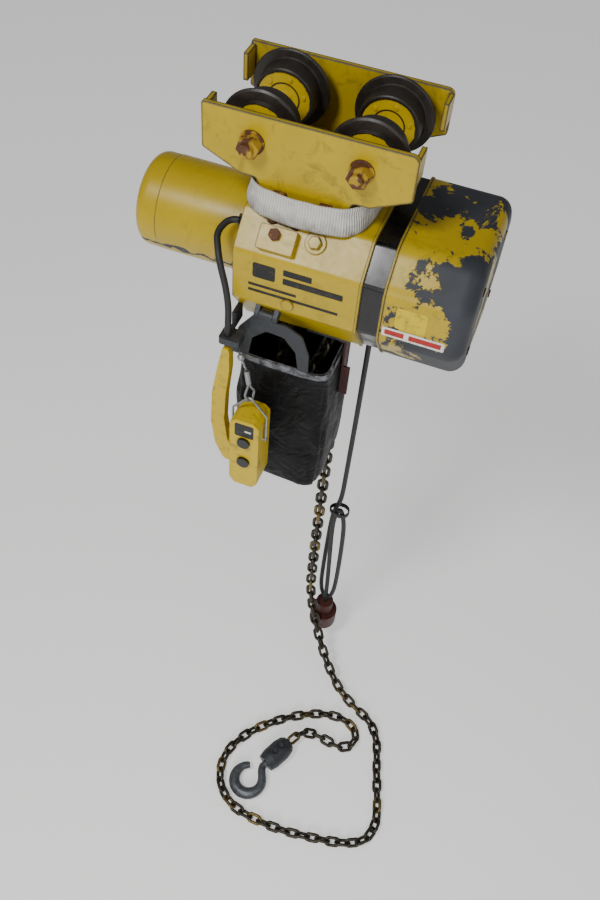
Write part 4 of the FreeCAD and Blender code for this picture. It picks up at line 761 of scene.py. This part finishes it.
# ---- pendant ------------------------------------------------------------------------------
# Scuffed yellow moulding, with a black label above the buttons that has one pale bar on it.
def pendant_surface(tree):
    where = add(tree, "TexCoord", out="Object")
    scuff = add(tree, "TexNoise", {"Vector": where, "Scale": 75.0, "Detail": 8.0, "Roughness": 0.7})
    grain = add(tree, "TexNoise", {"Vector": where, "Scale": 900.0, "Detail": 2.0})
    shade = add(tree, "Mix", {"Factor": add(tree, "MapRange", {
        "Value": scuff, "From Min": 0.52, "From Max": 0.75, "To Max": 0.75}), 6: colour("ceb000"),
        7: colour("4a3c08")}, data_type="RGBA")
    soft = add(tree, "Bevel", {"Radius": 0.0015}, samples=4)
    bump = add(tree, "Bump", {"Height": grain, "Strength": 0.25, "Distance": 0.0003, "Normal": soft})
    return {"Base Color": shade, "Roughness": 0.45, "Normal": bump}


pendant_plastic = material("scuffed yellow plastic", pendant_surface)
dress(["pendant_case", "pendant_cover"], pendant_plastic)


def sticker(name, corners, lift, tint, body):
    """A thin sheet with rounded corners on a flat face, from three corners in the row frame."""
    corner_share, underside_share = 0.12, 0.15
    origin, across_end, down_end = (Vector(c) for c in corners)
    u, v = across_end - origin, down_end - origin
    out = u.cross(v).normalized() * -lift
    radius = min(u.length, v.length) * corner_share
    outline = []
    for cx, cy, start in ((1, 0, -90), (1, 1, 0), (0, 1, 90), (0, 0, 180)):
        for k in range(5):
            a = math.radians(start + 22.5 * k)
            px = (cx * u.length) + (radius if cx == 0 else -radius) + radius * math.cos(a)
            py = (cy * v.length) + (radius if cy == 0 else -radius) + radius * math.sin(a)
            outline.append(origin + u.normalized() * px + v.normalized() * py)
    points = [p + out * underside_share for p in outline] + [p + out for p in outline]
    count = len(outline)
    faces = [tuple(range(count, 2 * count)), tuple(range(count - 1, -1, -1))]
    faces += [(i, (i + 1) % count, count + (i + 1) % count, count + i) for i in range(count)]
    made = bpy.data.materials.get(tint[0]) or material(tint[0], lambda tree: printed(tree, tint[1], tint[2]))
    piece = mesh_object(name, points, faces, made, body)
    piece.data.shade_flat()
    return piece


def printed(tree, clean, dirty):
    where = add(tree, "TexCoord", out="Object")
    wear = add(tree, "TexNoise", {"Vector": where, "Scale": 130.0, "Detail": 8.0, "Roughness": 0.7})
    shade = add(tree, "Mix", {"Factor": add(tree, "MapRange", {
        "Value": wear, "From Min": 0.50, "From Max": 0.72, "To Max": 0.7}), 6: colour(clean),
        7: colour(dirty)}, data_type="RGBA")
    return {"Base Color": shade, "Roughness": 0.5}


black_print = ("black print", "0c0c0d", "4a4220")
white_print = ("white print", "e6e4dc", "8a8678")
sticker("pendant_label", [(-0.0385, -0.177, -0.3175), (-0.0115, -0.177, -0.3175),
                          (-0.0385, -0.177, -0.3425)], 0.0004, black_print, "pendant")
sticker("pendant_label_bar", [(-0.024, -0.1774, -0.3285), (-0.015, -0.1774, -0.3285),
                              (-0.024, -0.1774, -0.3315)], 0.0002,
        white_print, "pendant")

# ---- lettering bars and stickers ----------------------------------------------------------
# Blank stand-ins for printing: plain dark bars on the casing's front, and on the end cover's
# lower front a yellow sticker above a white strip with two plain red bars.
for number, (x0, x1, z0, z1) in enumerate((
    (-0.045, -0.016, -0.097, -0.119), (-0.006, 0.030, -0.096, -0.105), (-0.006, 0.070, -0.109, -0.118),
    (-0.050, 0.012, -0.129, -0.133), (-0.050, 0.066, -0.138, -0.142),
)):
    sticker(f"printed_bar_{number + 1}", [(x0, -0.112, z0), (x1, -0.112, z0), (x0, -0.112, z1)],
            0.0003, black_print, "hoist")
cover_front = -0.113
red_print = ("red print", "b01810", "5c2a20")
for name, x0, x1, z0, z1, lift, tint, slot_name in (
    ("cover_sticker", 0.136, 0.174, -0.101, -0.1325, 0.0003,
     ("yellow print", "d8bc00", "5a4a10"), "yellow_plastic"),
    ("cover_strip", 0.1225, 0.200, -0.1355, -0.1490, 0.0003, white_print, "grey_plastic"),
    ("cover_strip_bar_1", 0.126, 0.150, -0.1385, -0.1460, 0.0005, red_print, "red_brown_plastic"),
    ("cover_strip_bar_2", 0.156, 0.196, -0.1385, -0.1460, 0.0005, red_print, "red_brown_plastic"),
):
    sticker(name, [(x0, cover_front, z0), (x1, cover_front, z0), (x0, cover_front, z1)],
            lift, tint, "hoist")
